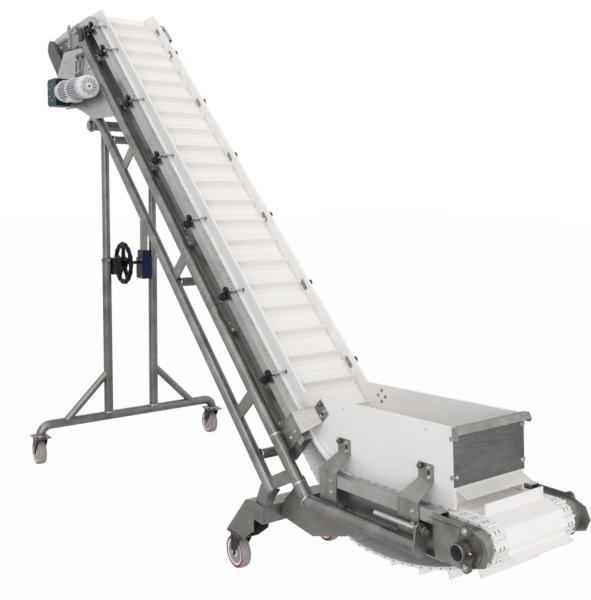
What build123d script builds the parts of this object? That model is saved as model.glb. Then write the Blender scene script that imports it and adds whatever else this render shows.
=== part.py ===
from build123d import *
from math import atan2, cos, degrees, hypot, pi, radians, sin, tan
import os

# Mobile cleated belt conveyor: low infeed with a hopper, steep incline, short level head.
# Millimetres. +X runs from the discharge head to the infeed tail, +Z is up, the floor is Z = 0.
# The near side is -Y. The origin lies on the floor under the middle of the machine.

# Dog-leg of the frame
incline_angle = 41.0
infeed_angle = 5.0
head_angle = 5.0
incline_length = 3065.0
infeed_length = 690.0
head_length = 430.0
guard_end = 660.0
kink_height = 493.0

# Tubes of the side trusses
tube_od = 50.8
truss_half_width = 262.0
truss_depth = 194.5
pipe_end_incline = incline_length - 80.0
pipe_end_infeed = 615.0
lower_pipe_start = 150.0
lower_pipe_end = incline_length - 205.0

# Folded side channels
channel_half_width = 200.0
channel_sheet = 3.0
channel_foot = -30.0
channel_top = 130.0
channel_flange = 40.0
channel_lip = 45.0
far_flange = 5.0
incline_channel_start = 190.0
infeed_channel_start = 95.0

# Modular belt, its flights and its two sprocket shafts
belt_half_width = 190.0
belt_pitch = 46.0
sprocket_teeth = 8
belt_thickness = 10.0
pad_thickness = 6.0
pad_half_width = 139.0
flight_height = 38.0
flight_thickness = 6.0
links_per_flight = 3
tail_shaft_along = 808.0
tail_shaft_rise = 52.0
tail_plate_reach = 86.0
head_shaft_along = 500.0
head_shaft_rise = 52.0
kink_bend_radius = 400.0
crest_bend_radius = 150.0
return_line = 20.0
return_bend_radius = 120.0
sag_run = 580.0
sag_drop = 168.0
shaft_diameter = 30.0
shaft_half_length = 285.0
sprocket_width = 36.0
sprocket_places = (-120.0, 0.0, 120.0)

# Belt supports
wear_strip_width = 30.0
wear_strip_height = 10.0
wear_strip_places = (-165.0, -55.0, 55.0, 165.0)
running_gap = 0.3
tie_width = 20.0
return_rail_width = 48.0
return_rail_height = 8.0

# White guard walls of the incline and the hopper
guard_half_width = 157.5
wall_thickness = 12.0
guard_top = 176.0
guard_nose = 45.0
guard_drop_place = 618.0
guard_drop_foot = 40.0
wall_belt_gap = 4.0
hopper_top = 389.0
hopper_end = 684.0
hopper_hole = 11.0
chute_hole = 9.0
chute_spacing = 50.0
end_plate_sheet = 3.0
end_plate_foot = 195.0
end_plate_lip = 18.0
flap_thickness = 5.0
flap_reach = 48.0

# Guard clamps: places along the incline
clamp_first = 507.0
clamp_spacing = 457.0
clamp_last = incline_length - 47.0
clamp_rod_diameter = 10.0
clamp_rise = 137.0
clamp_stud_place = 258.0
clamp_stud_diameter = 8.0
clamp_stud_foot = 70.0
knob_foot = 88.0
far_knob_rise = 152.0
knob_diameter = 34.0
knob_length = 26.0
knob_lobes = 6

# Mast, base and lift
mast_from_top = 353.2
mast_pivot_drop = 340.6
mast_half_width = 152.0
mast_tube_od = 46.0
mast_tube_wall = 3.0
pivot_tube_od = 57.0
post_od = 54.0
post_clearance = 0.6
post_above_lift = 35.0
mast_tube_foot = 450.0
pivot_tube_half_length = 252.0
hanger_width = 78.0
hanger_sheet = 10.0
hanger_bite = 3.4
pivot_clearance = 0.5
base_axis_height = 240.0
base_half_width = 580.0
base_bend_radius = 60.0
brace_od = 42.4
brace_post_height = 492.0
brace_from_base_end = 175.0
lift_axis_height = 1190.0
handwheel_diameter = 266.0
handwheel_rim = 28.0
handwheel_place = -44.0
lift_shaft_diameter = 20.0

# Casters
wheel_diameter = 150.0
wheel_width = 45.0
caster_trail = 30.0
caster_plate_height = 178.0
caster_plate_thickness = 6.0
caster_plate_length = 115.0
caster_plate_width = 90.0
fork_sheet = 5.0
side_gap = 5.0
axle_diameter = 12.0
bore_clearance = 0.3
front_swivel_from_kink = 501.0
front_half_track = 248.6

bend = incline_angle + infeed_angle
head_bend = incline_angle + head_angle
half_bend = tan(radians(bend / 2))
half_head_bend = tan(radians(head_bend / 2))
pitch_radius = belt_pitch / (2 * sin(pi / sprocket_teeth))
belt_line = tail_shaft_rise + pitch_radius
margin_top = belt_line + belt_thickness / 2
pad_top = margin_top + pad_thickness
flight_tip = pad_top + flight_height

up = (-cos(radians(incline_angle)), sin(radians(incline_angle)))
out = (cos(radians(infeed_angle)), sin(radians(infeed_angle)))
back = (-cos(radians(head_angle)), -sin(radians(head_angle)))

# The middle of the machine lies under the origin
tail_reach = (tail_shaft_along + tail_plate_reach) * out[0] - tail_shaft_rise * out[1]
head_reach = -(incline_length * up[0] + guard_end * back[0] + (guard_top - guard_nose) * back[1])
kink_x = (head_reach - tail_reach) / 2
front_x = kink_x - front_swivel_from_kink
post_top = lift_axis_height + post_above_lift


def incline(along, rise):
    """A point of the side view, along the incline from the kink and square to it."""
    return (kink_x + along * up[0] + rise * up[1], kink_height + along * up[1] - rise * up[0])


def infeed(along, rise):
    """A point of the side view, along the infeed from the kink and square to it."""
    return (kink_x + along * out[0] - rise * out[1], kink_height + along * out[1] + rise * out[0])


def head(along, rise):
    """A point of the side view, along the head from the top bend and square to it."""
    bend_x, bend_z = incline(incline_length, 0)
    return (bend_x + along * back[0] + rise * back[1], bend_z + along * back[1] - rise * back[0])


def foot_corner(rise):
    return incline(rise * half_bend, rise)


def top_corner(rise):
    return incline(incline_length + rise * half_head_bend, rise)


pivot_along = incline_length - mast_from_top
mast_x, mast_pivot_height = incline(pivot_along, -mast_pivot_drop)


def side(y):
    """The side-view plane at a distance y; it faces the near side."""
    return Plane.XZ.offset(-y)


def export(piece, name):
    piece.part.label = name
    export_step(piece.part, "parts/" + name + ".step")
    print(name, round(piece.part.volume / 1e3), "cm3")


os.makedirs("parts", exist_ok=True)
sides = (("near", -1), ("far", 1))

# Truss pipes
with BuildPart() as upper_pipes:
    for name, sign in sides:
        y = sign * truss_half_width
        with BuildLine() as path:
            start = incline(pipe_end_incline, 0)
            corner = foot_corner(0)
            end = infeed(pipe_end_infeed, 0)
            Polyline((start[0], y, start[1]), (corner[0], y, corner[1]), (end[0], y, end[1]))
        with BuildSketch(Plane(origin=path.line @ 0, z_dir=path.line % 0)):
            Circle(tube_od / 2)
        sweep(path=path.line, transition=Transition.RIGHT)
export(upper_pipes, "upper_pipes")

with BuildPart() as lower_pipes:
    low = incline(lower_pipe_start, -truss_depth)
    for name, sign in sides:
        with BuildSketch(Plane(origin=(low[0], sign * truss_half_width, low[1]), z_dir=(up[0], 0, up[1]))):
            Circle(tube_od / 2)
        extrude(amount=lower_pipe_end - lower_pipe_start)
export(lower_pipes, "lower_pipes")

# Flat plates that tie the two pipes of each truss, one solid each
truss_plates = ((2120.0, 2140.0), (1330.0, 1340.0), (520.0, 530.0), (130.0, 180.0))
truss_plate_width = 56.0
truss_plate_sheet = 10.0
with BuildPart() as truss_ties:
    for name, sign in sides:
        for top_along, low_along in truss_plates:
            edge = tube_od / 2
            width = truss_plate_width / 2
            with BuildSketch(side(sign * truss_half_width + truss_plate_sheet / 2)):
                with BuildLine():
                    Polyline(incline(top_along - width, -edge), incline(top_along + width, -edge),
                             incline(low_along + width, edge - truss_depth),
                             incline(low_along - width, edge - truss_depth), close=True)
                make_face()
            extrude(amount=truss_plate_sheet)
export(truss_ties, "truss_ties")

# Folded side channels: web, top flange with a turned-down lip, foot flange and pipe lugs.
# Along the incline the far channel keeps only a narrow ledge of its top flange.
lug_count = int((incline_length - 700) / 540) + 1
lug_places = [330.0 + 540.0 * k for k in range(lug_count)] + [incline_length - 165.0]
lug_length = 60.0
lug_height = 10.0
infeed_lug_places = (180.0, 440.0)
far_trim_start = 330.0
far_trim_stop = incline_length - 90.0


def run_outline(low, high):
    """Outline of the long run of a channel between two rises, incline and head."""
    Polyline(incline(incline_channel_start, low), top_corner(low), head(head_length, low),
             head(head_length, high), top_corner(high), incline(incline_channel_start, high),
             close=True)


def infeed_outline(low, high):
    Polyline(infeed(infeed_channel_start, low), infeed(infeed_length, low),
             infeed(infeed_length, high), infeed(infeed_channel_start, high), close=True)


for name, sign in sides:
    with BuildPart() as channel:
        strips = (
            (channel_foot, channel_top, 0, channel_sheet),
            (channel_top - channel_sheet, channel_top, 0, channel_flange),
            (channel_top - channel_lip, channel_top, channel_flange - channel_sheet, channel_sheet),
            (channel_foot, channel_foot + channel_sheet, 0, channel_flange - 10.0),
        )
        for outline in (run_outline, infeed_outline):
            for low, high, step, width in strips:
                with BuildSketch(side(sign * (channel_half_width + step))):
                    with BuildLine():
                        outline(low, high)
                    make_face()
                extrude(amount=-sign * width)
        lug_width = truss_half_width - tube_od / 2 - channel_half_width - channel_sheet
        lug_middle = sign * (channel_half_width + channel_sheet + lug_width / 2)
        for along in lug_places:
            x, z = incline(along, 0)
            with BuildSketch(Plane(origin=(x, lug_middle, z), x_dir=(up[0], 0, up[1]), z_dir=(up[1], 0, -up[0]))):
                Rectangle(lug_length, lug_width)
            extrude(amount=lug_height / 2, both=True)
        for along in infeed_lug_places:
            x, z = infeed(along, 0)
            with BuildSketch(Plane(origin=(x, lug_middle, z), x_dir=(out[0], 0, out[1]), z_dir=(-out[1], 0, out[0]))):
                Rectangle(lug_length, lug_width)
            extrude(amount=lug_height / 2, both=True)
        if sign > 0:
            with BuildSketch(side(channel_half_width + far_flange)):
                with BuildLine():
                    Polyline(incline(far_trim_start, channel_top - channel_lip - 1),
                             incline(far_trim_stop, channel_top - channel_lip - 1),
                             incline(far_trim_stop, channel_top + 1), incline(far_trim_start, channel_top + 1),
                             close=True)
                make_face()
            extrude(amount=-channel_flange, mode=Mode.SUBTRACT)
    export(channel, "side_channel_" + name)

# Cross ties between the channels, under the carrying run, and cross tubes between the lower pipes
tie_places = [330.0 + 310.0 * k for k in range(int((incline_length - 580) / 310) + 1)]
infeed_tie_places = (230.0, 560.0)
head_tie_places = (120.0, 360.0)
tie_rise = belt_line - belt_thickness / 2 - running_gap - wear_strip_height - tie_width / 2
with BuildPart() as cross_ties:
    ties = [(incline(a, tie_rise), -incline_angle) for a in tie_places]
    ties += [(infeed(a, tie_rise), infeed_angle) for a in infeed_tie_places]
    ties += [(head(a, tie_rise), head_angle) for a in head_tie_places]
    for (x, z), lean in ties:
        with BuildSketch(side(channel_half_width)):
            with Locations((x, z)):
                Rectangle(tie_width, tie_width, rotation=lean)
        extrude(amount=2 * channel_half_width)
export(cross_ties, "cross_ties")

lower_tie_places = (330.0, 1320.0, incline_length - 665.0)
with BuildPart() as truss_cross_tubes:
    for along in lower_tie_places:
        x, z = incline(along, -truss_depth)
        reach = truss_half_width - tube_od / 2
        with BuildSketch(side(reach)):
            with Locations((x, z)):
                Circle(tube_od / 2 - 4)
        extrude(amount=2 * reach)
export(truss_cross_tubes, "truss_cross_tubes")

# Belt path in the side view
tail_centre = infeed(tail_shaft_along, tail_shaft_rise)
head_centre = head(head_shaft_along, head_shaft_rise)
step_angle = 360.0 / sprocket_teeth


def on_circle(centre, radius, angle):
    return (centre[0] + radius * cos(radians(angle)), centre[1] + radius * sin(radians(angle)))


def rounded(corner, before, after, radius):
    """Start, middle and end of the arc that rounds a corner between two unit directions."""
    turn = radians(degrees(atan2(after[1], after[0]) - atan2(before[1], before[0])))
    turn = (turn + pi) % (2 * pi) - pi
    reach = radius * tan(abs(turn) / 2)
    inward = ((after[0] - before[0]), (after[1] - before[1]))
    size = hypot(inward[0], inward[1])
    depth = radius / cos(turn / 2) - radius
    return (
        (corner[0] - before[0] * reach, corner[1] - before[1] * reach),
        (corner[0] + inward[0] / size * depth, corner[1] + inward[1] / size * depth),
        (corner[0] + after[0] * reach, corner[1] + after[1] * reach),
    )


tail_links = [on_circle(tail_centre, pitch_radius, 90 + infeed_angle - step_angle * k) for k in range(5)]
head_links = [on_circle(head_centre, pitch_radius, 90 + head_angle + step_angle * k) for k in range(5)]
down = (-up[0], -up[1])
front = (-back[0], -back[1])
inward = (-out[0], -out[1])
kink_arc = rounded(foot_corner(belt_line), inward, up, kink_bend_radius)
crest_arc = rounded(top_corner(belt_line), up, back, crest_bend_radius)
head_return = head_shaft_rise - pitch_radius

# The head's return line meets the incline's return line
line_x, line_z = incline(0, return_line)
gap_x = line_x - head_links[4][0]
gap_z = line_z - head_links[4][1]
along_head = (gap_x * down[1] - gap_z * down[0]) / (front[0] * down[1] - front[1] * down[0])
return_corner = (head_links[4][0] + front[0] * along_head, head_links[4][1] + front[1] * along_head)
return_arc = rounded(return_corner, front, down, return_bend_radius)

# The slack return hangs in one arc and turns up into the incline in another
lowest = (tail_links[4][0] - sag_run, tail_links[4][1] - sag_drop)
sag_radius = (sag_run ** 2 + sag_drop ** 2) / (2 * sag_drop)
sag_angle = atan2(sag_run, sag_radius - sag_drop)
sag_middle = (lowest[0] + sag_radius * sin(sag_angle / 2), lowest[1] + sag_radius * (1 - cos(sag_angle / 2)))
foot_along = (lowest[1] - line_z) / up[1]
foot_of_return = (line_x + up[0] * foot_along, lowest[1])
turn_radius = (lowest[0] - foot_of_return[0]) / tan(radians(incline_angle / 2))
turn_arc = rounded(foot_of_return, down, (1.0, 0.0), turn_radius)

with BuildLine(Plane.XZ) as carry_path:
    Line(tail_links[0], kink_arc[0])
    ThreePointArc(kink_arc[0], kink_arc[1], kink_arc[2])
    Line(kink_arc[2], crest_arc[0])
    ThreePointArc(crest_arc[0], crest_arc[1], crest_arc[2])
    Line(crest_arc[2], head_links[0])
with BuildLine(Plane.XZ) as return_path:
    Line(head_links[4], return_arc[0])
    ThreePointArc(return_arc[0], return_arc[1], return_arc[2])
    Line(return_arc[2], turn_arc[0])
    ThreePointArc(turn_arc[0], turn_arc[1], lowest)
    ThreePointArc(lowest, sag_middle, tail_links[4])
with BuildLine(Plane.XZ) as head_turn:
    Polyline(*head_links)
with BuildLine(Plane.XZ) as tail_turn:
    Polyline(*reversed(tail_links))
with BuildLine(Plane.XZ) as belt_path:
    add(carry_path.line)
    add(head_turn.line)
    add(return_path.line)
    add(tail_turn.line)
belt_wire = belt_path.wires()[0]

# Whole links on each run, so that they meet the sprockets' corners; a flight stands on every third link
sprocket_links = sprocket_teeth // 2
link_count = links_per_flight * round(belt_wire.length / (belt_pitch * links_per_flight))
carry_count = round(carry_path.wires()[0].length / belt_pitch)
return_count = link_count - carry_count - 2 * sprocket_links
belt_runs = (
    (carry_path, carry_count), (head_turn, sprocket_links), (return_path, return_count), (tail_turn, sprocket_links),
)
link_places = []
for run_path, count in belt_runs:
    run_wire = run_path.wires()[0]
    link_places += [(run_wire @ ((k + 0.5) / count), run_wire % ((k + 0.5) / count)) for k in range(count)]
print("belt length", round(belt_wire.length), "links", [count for run_path, count in belt_runs])

with BuildPart() as belt:
    layers = (
        (belt_half_width, belt_thickness / 2),
        (pad_half_width, belt_thickness / 2 + pad_thickness),
    )
    for half_width, outside in layers:
        with BuildSketch(side(half_width)):
            with BuildLine():
                add(belt_wire)
            make_face()
            offset(amount=outside, kind=Kind.INTERSECTION)
            with BuildSketch(side(half_width), mode=Mode.PRIVATE) as inside:
                with BuildLine():
                    add(belt_wire)
                make_face()
                offset(amount=-belt_thickness / 2, kind=Kind.INTERSECTION)
            add(inside.sketch, mode=Mode.SUBTRACT)
        extrude(amount=2 * half_width)
    with BuildSketch(side(pad_half_width)):
        for spot, run in link_places[::links_per_flight]:
            foot = belt_thickness / 2
            tip = foot + pad_thickness + flight_height
            half = flight_thickness / 2
            with BuildLine():
                Polyline(*[(spot.X + run.X * a + run.Z * b, spot.Z + run.Z * a - run.X * b)
                           for a, b in ((-half, foot), (half, foot), (half, tip), (-half, tip))], close=True)
            make_face()
    extrude(amount=2 * pad_half_width)
export(belt, "belt")

# Sprockets keyed on each shaft: octagons that fill the belt's inner corners
sprocket_apothem = pitch_radius * cos(pi / sprocket_teeth) - belt_thickness / 2 - running_gap
bearing_face = 244.0
drive_reach = 283.0
shafts = (
    ("tail_shaft", tail_centre, 90 + infeed_angle, shaft_half_length, shaft_half_length),
    ("head_shaft", head_centre, 90 + head_angle, drive_reach, shaft_half_length),
)
for name, centre, phase, near_reach, far_reach in shafts:
    with BuildPart() as shaft:
        with BuildSketch(side(far_reach)):
            with Locations(centre):
                Circle(shaft_diameter / 2)
        extrude(amount=near_reach + far_reach)
        for place in sprocket_places:
            with BuildSketch(side(place + sprocket_width / 2)):
                with Locations(Location((centre[0], centre[1], 0), (0, 0, phase))):
                    RegularPolygon(sprocket_apothem, sprocket_teeth, major_radius=False)
            extrude(amount=sprocket_width)
    export(shaft, name)

# Wear strips under the carrying run and rails under the edges of the return run
strip_top = belt_line - belt_thickness / 2 - running_gap
rail_top = return_line - belt_thickness / 2 - running_gap
strip_start = 260.0
strip_stop = incline_length - 115.0
with BuildPart() as wear_strips:
    for place in wear_strip_places:
        with BuildSketch(side(place + wear_strip_width / 2)):
            with BuildLine():
                Polyline(incline(strip_start, strip_top), incline(strip_stop, strip_top),
                         incline(strip_stop, strip_top - wear_strip_height),
                         incline(strip_start, strip_top - wear_strip_height), close=True)
            make_face()
            with BuildLine():
                Polyline(infeed(strip_start - 50, strip_top), infeed(infeed_length, strip_top),
                         infeed(infeed_length, strip_top - wear_strip_height),
                         infeed(strip_start - 50, strip_top - wear_strip_height), close=True)
            make_face()
            with BuildLine():
                Polyline(head(70, strip_top), head(head_shaft_along - 90, strip_top),
                         head(head_shaft_along - 90, strip_top - wear_strip_height),
                         head(70, strip_top - wear_strip_height), close=True)
            make_face()
        extrude(amount=wear_strip_width)
export(wear_strips, "wear_strips")

return_rail_start = 230.0
return_rail_stop = incline_length - 165.0
with BuildPart() as return_rails:
    for name, sign in sides:
        with BuildSketch(side(sign * channel_half_width)):
            with BuildLine():
                Polyline(incline(return_rail_start, rail_top), incline(return_rail_stop, rail_top),
                         incline(return_rail_stop, rail_top - return_rail_height),
                         incline(return_rail_start, rail_top - return_rail_height), close=True)
            make_face()
        extrude(amount=sign * return_rail_width)
export(return_rails, "return_rails")

# White guard walls beside the incline and the head; they butt against the hopper's walls
wall_foot = margin_top + wall_belt_gap
wall_face = guard_half_width + wall_thickness
chute_x, chute_z = head((guard_drop_place + guard_end) / 2, (guard_drop_foot + guard_top - guard_nose) / 2)
chute_holes = [(chute_x, chute_z + step * chute_spacing / 2) for step in (-1, 1)]
hopper_corner_along = (hopper_top - guard_top * cos(radians(bend))) / sin(radians(bend))
for name, sign in sides:
    with BuildPart() as guard_wall:
        with BuildSketch(side(sign * guard_half_width)):
            with BuildLine():
                Polyline(incline(hopper_corner_along, wall_foot), top_corner(wall_foot),
                         head(guard_drop_place, wall_foot), head(guard_drop_place, guard_drop_foot),
                         head(guard_end, guard_drop_foot), head(guard_end, guard_top - guard_nose),
                         head(guard_end - guard_nose, guard_top), top_corner(guard_top),
                         incline(hopper_corner_along, guard_top), close=True)
            make_face()
            with Locations(*chute_holes):
                Circle(chute_hole / 2, mode=Mode.SUBTRACT)
        extrude(amount=-sign * wall_thickness)
    export(guard_wall, "guard_wall_" + name)

# Hopper: two white walls in line with the guard walls, steel end plate, sloping outlet flap
hopper_half_width = guard_half_width
hopper_holes = [infeed(along, hopper_top - 27) for along in (120.0, 560.0)]
wall_arc = rounded(foot_corner(wall_foot), inward, up, kink_bend_radius - (wall_foot - belt_line))
for name, sign in sides:
    with BuildPart() as hopper_wall:
        with BuildSketch(side(sign * hopper_half_width)):
            with BuildLine():
                Polyline(wall_arc[0], infeed(hopper_end, wall_foot), infeed(hopper_end, hopper_top),
                         incline(hopper_corner_along, guard_top), incline(hopper_corner_along, wall_foot),
                         wall_arc[2])
                ThreePointArc(wall_arc[2], wall_arc[1], wall_arc[0])
            make_face()
            with Locations(*hopper_holes):
                Circle(hopper_hole / 2, mode=Mode.SUBTRACT)
        extrude(amount=-sign * wall_thickness)
    export(hopper_wall, "hopper_wall_" + name)

plate_half_width = wall_face
with BuildPart() as hopper_end_plate:
    with BuildSketch(side(plate_half_width)):
        with BuildLine():
            Polyline(infeed(hopper_end, end_plate_foot), infeed(hopper_end + end_plate_sheet, end_plate_foot),
                     infeed(hopper_end + end_plate_sheet, hopper_top), infeed(hopper_end + end_plate_lip, hopper_top),
                     infeed(hopper_end + end_plate_lip, hopper_top + end_plate_sheet),
                     infeed(hopper_end, hopper_top + end_plate_sheet), close=True)
        make_face()
    extrude(amount=2 * plate_half_width)
export(hopper_end_plate, "hopper_end_plate")

with BuildPart() as hopper_flap:
    with BuildSketch(side(hopper_half_width)):
        with BuildLine():
            Polyline(infeed(hopper_end - flap_thickness, end_plate_foot + 30),
                     infeed(hopper_end, end_plate_foot + 30),
                     infeed(hopper_end, end_plate_foot - 8),
                     infeed(hopper_end + flap_reach, flight_tip + 3),
                     infeed(hopper_end + flap_reach - flap_thickness, flight_tip + 3),
                     infeed(hopper_end - flap_thickness, end_plate_foot - 10), close=True)
        make_face()
    extrude(amount=2 * hopper_half_width)
export(hopper_flap, "hopper_flap")

# Bent straps that hold the hopper: on the channel's lip below, on the hopper wall above
strap_width = 72.0
strap_taper = 30.0
strap_sheet = 4.0
strap_foot = 18.0
strap_knee = 140.0
strap_heel = 195.0
strap_head = 250.0
strap_places = (124.0, 560.0)
incline_strap_place = 250.0
strap_reach = channel_half_width + channel_flange + strap_sheet + 1


def strap_profile(sign):
    """Outline of the bent strap across the machine: first value across, second value rise."""
    low = sign * (channel_half_width + channel_flange)
    high = sign * plate_half_width
    step = sign * strap_sheet
    return ((low, strap_foot), (low, strap_knee), (high, strap_heel), (high, strap_head),
            (high + step, strap_head), (high + step, strap_heel), (low + step, strap_knee), (low + step, strap_foot))


with BuildPart() as hopper_straps:
    edge = strap_width / 2
    places = [(infeed(a - edge - strap_taper, 0), out) for a in strap_places]
    places += [(incline(incline_strap_place + edge + strap_taper, 0), down)]
    for name, sign in sides:
        for (x, z), run in places:
            with BuildSketch(Plane(origin=(x, 0, z), x_dir=(0, 1, 0), z_dir=(run[0], 0, run[1]))):
                with BuildLine():
                    Polyline(*strap_profile(sign), close=True)
                make_face()
            extrude(amount=strap_width + strap_taper)
    # The edge of each strap leans in above the knee
    corners = ((edge + strap_taper + 1, strap_knee), (edge + strap_taper, strap_knee), (edge, strap_heel),
               (edge, strap_head + 1), (edge + strap_taper + 1, strap_head + 1))
    outlines = [[infeed(a - step, rise) for step, rise in corners] for a in strap_places]
    outlines += [[incline(incline_strap_place + step, rise) for step, rise in corners]]
    for outline in outlines:
        with BuildSketch(side(strap_reach)):
            with BuildLine():
                Polyline(*outline, close=True)
            make_face()
        extrude(amount=2 * strap_reach, mode=Mode.SUBTRACT)
export(hopper_straps, "hopper_straps")

# Guard clamps. Near side: a foot on the channel flange, a rod across it to the wall, and a stud
# with its knob hanging from the rod. Far side: a knob on the wall.
clamp_count = int((clamp_last - clamp_first - 200) / clamp_spacing) + 1
clamp_places = [clamp_first + clamp_spacing * k for k in range(clamp_count)] + [clamp_last]
clamp_foot = 36.0
clamp_sheet = 5.0
clamp_post_place = 222.0
with BuildPart() as guard_clamps:
    for along in clamp_places:
        x, z = incline(along, clamp_rise)
        with BuildSketch(side(-wall_face)):
            with Locations((x, z)):
                RegularPolygon(clamp_rod_diameter / 2, 6)
        extrude(amount=clamp_stud_place - wall_face + clamp_stud_diameter / 2)
        for foot, tip, diameter in (
            (clamp_stud_foot, clamp_rise, clamp_stud_diameter), (knob_foot, knob_foot + knob_length, knob_diameter),
        ):
            x, z = incline(along, foot)
            with BuildSketch(Plane(origin=(x, -clamp_stud_place, z), x_dir=(0, 1, 0), z_dir=(up[1], 0, -up[0]))):
                RegularPolygon(diameter / 2, knob_lobes)
            extrude(amount=tip - foot)
        with BuildSketch(side(-clamp_post_place)):
            with BuildLine():
                Polyline(incline(along - clamp_foot / 2, channel_top),
                         incline(along + clamp_foot / 2, channel_top),
                         incline(along + 9, clamp_rise + 9), incline(along - 9, clamp_rise + 9), close=True)
            make_face()
        extrude(amount=clamp_sheet)
        x, z = incline(along, far_knob_rise)
        with BuildSketch(side(wall_face)):
            with Locations((x, z)):
                RegularPolygon(knob_diameter / 2, knob_lobes)
        extrude(amount=-knob_length)
export(guard_clamps, "guard_clamps")

# Tail and head plates that carry the bearings, on the outer face of the channels
plate_sheet = 4.0
plate_lap = 30.0
shaft_hole_gap = 4.0
plate_face = channel_half_width + channel_flange
tail_outline = (
    infeed(infeed_length - plate_lap, 30), infeed(infeed_length - plate_lap, 126),
    infeed(tail_shaft_along, 122), infeed(tail_shaft_along + tail_plate_reach - 18, 92),
    infeed(tail_shaft_along + tail_plate_reach, tail_shaft_rise),
    infeed(tail_shaft_along + tail_plate_reach - 18, 12), infeed(tail_shaft_along - 30, -20),
    infeed(infeed_length - plate_lap + 10, -20),
)
head_outline = (
    head(60, 20), head(60, 122), head(head_shaft_along + 30, 122), head(head_shaft_along + 62, 92),
    head(head_shaft_along + 62, 10), head(head_shaft_along + 30, -22), head(head_length - 120, -22),
    head(head_length - 180, 20),
)
end_plates = (("tail_plates", tail_outline, tail_centre), ("head_plates", head_outline, head_centre))
for name, outline, centre in end_plates:
    with BuildPart() as plates:
        for hand, sign in sides:
            with BuildSketch(side(sign * plate_face)):
                with BuildLine():
                    Polyline(*outline, close=True)
                make_face()
                with Locations(centre):
                    Circle(shaft_diameter / 2 + shaft_hole_gap, mode=Mode.SUBTRACT)
            extrude(amount=-sign * plate_sheet)
    export(plates, name)

# Two-bolt flange bearings with steel end caps; the drive side is open for the shaft
bearing_ear = 57.0
bearing_ear_radius = 17.0
bearing_body_radius = 37.0
bearing_flange = 12.0
bearing_hub_radius = 30.0
bearing_hub = 22.0
bearing_cap_radius = 25.0
bearing_cap = 14.0
bearing_face = plate_face + plate_sheet
bearings = (
    ("tail_bearings", tail_centre, 90 + infeed_angle, (True, True)),
    ("head_bearings", head_centre, head_angle, (False, True)),
)
for name, centre, lean, caps in bearings:
    ears = [on_circle(centre, bearing_ear, lean + turn) for turn in (0, 180)]
    with BuildPart() as bearing:
        for (hand, sign), capped in zip(sides, caps):
            with BuildSketch(side(sign * bearing_face)):
                with Locations(centre):
                    Circle(bearing_body_radius)
                with Locations(*ears):
                    Circle(bearing_ear_radius)
                make_hull()
            extrude(amount=-sign * bearing_flange)
            with BuildSketch(side(sign * (bearing_face + bearing_flange))):
                with Locations(centre):
                    Circle(bearing_hub_radius)
            extrude(amount=-sign * bearing_hub)
            if capped:
                with BuildSketch(side(sign * (bearing_face + bearing_flange + bearing_hub))):
                    with Locations(centre):
                        Circle(bearing_cap_radius)
                extrude(amount=-sign * bearing_cap)
            with BuildSketch(side(sign * bearing_face)):
                with Locations(centre):
                    Circle(shaft_diameter / 2)
            bore_depth = shaft_half_length - bearing_face + 1 if capped else bearing_flange + bearing_hub
            extrude(amount=-sign * bore_depth, mode=Mode.SUBTRACT)
    export(bearing, name)

# Take-up: a threaded rod over each infeed pipe, through a teardrop plate to the tail plate
takeup_rise = 62.0
takeup_rod = 18.0
takeup_start = 400.0
takeup_end = 655.0
teardrop_sheet = 8.0
teardrop_top_radius = 21.0
teardrop_foot_radius = 31.0
with BuildPart() as takeups:
    for name, sign in sides:
        x, z = infeed(takeup_start, takeup_rise)
        rod_plane = Plane(origin=(x, sign * truss_half_width, z), x_dir=(0, 1, 0), z_dir=(out[0], 0, out[1]))
        with BuildSketch(rod_plane):
            Circle(takeup_rod / 2)
        extrude(amount=takeup_end - takeup_start)
        x, z = infeed(pipe_end_infeed, 0)
        drop_plane = Plane(origin=(x, sign * truss_half_width, z), x_dir=(0, 1, 0), z_dir=(out[0], 0, out[1]))
        with BuildSketch(drop_plane):
            with Locations((0, 0)):
                Circle(teardrop_foot_radius)
            with Locations((0, takeup_rise)):
                Circle(teardrop_top_radius)
            make_hull()
        extrude(amount=teardrop_sheet)
export(takeups, "takeups")

# Belly pan: two side plates on the infeed channels and a floor under the bend
pan_sheet = 2.5
pan_corners = ((-239.0, -91.0), (-267.0, -165.0), (-40.0, -172.0), (170.0, -92.0), (228.0, -46.0))
pan_face = channel_half_width + channel_sheet
with BuildPart() as belly_pan:
    corners = [(kink_x + x, kink_height + z) for x, z in pan_corners]
    for name, sign in sides:
        with BuildSketch(side(sign * pan_face)):
            with BuildLine():
                Polyline(infeed(225, channel_foot), foot_corner(channel_foot), incline(120, channel_foot),
                         *corners, close=True)
            make_face()
        extrude(amount=-sign * pan_sheet)
    with BuildSketch(side(pan_face + pan_sheet)):
        with BuildLine():
            Polyline(corners[1], corners[2], (corners[2][0], corners[2][1] + pan_sheet),
                     (corners[1][0], corners[1][1] + pan_sheet), close=True)
        make_face()
    extrude(amount=2 * (pan_face + pan_sheet))
export(belly_pan, "belly_pan")

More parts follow.
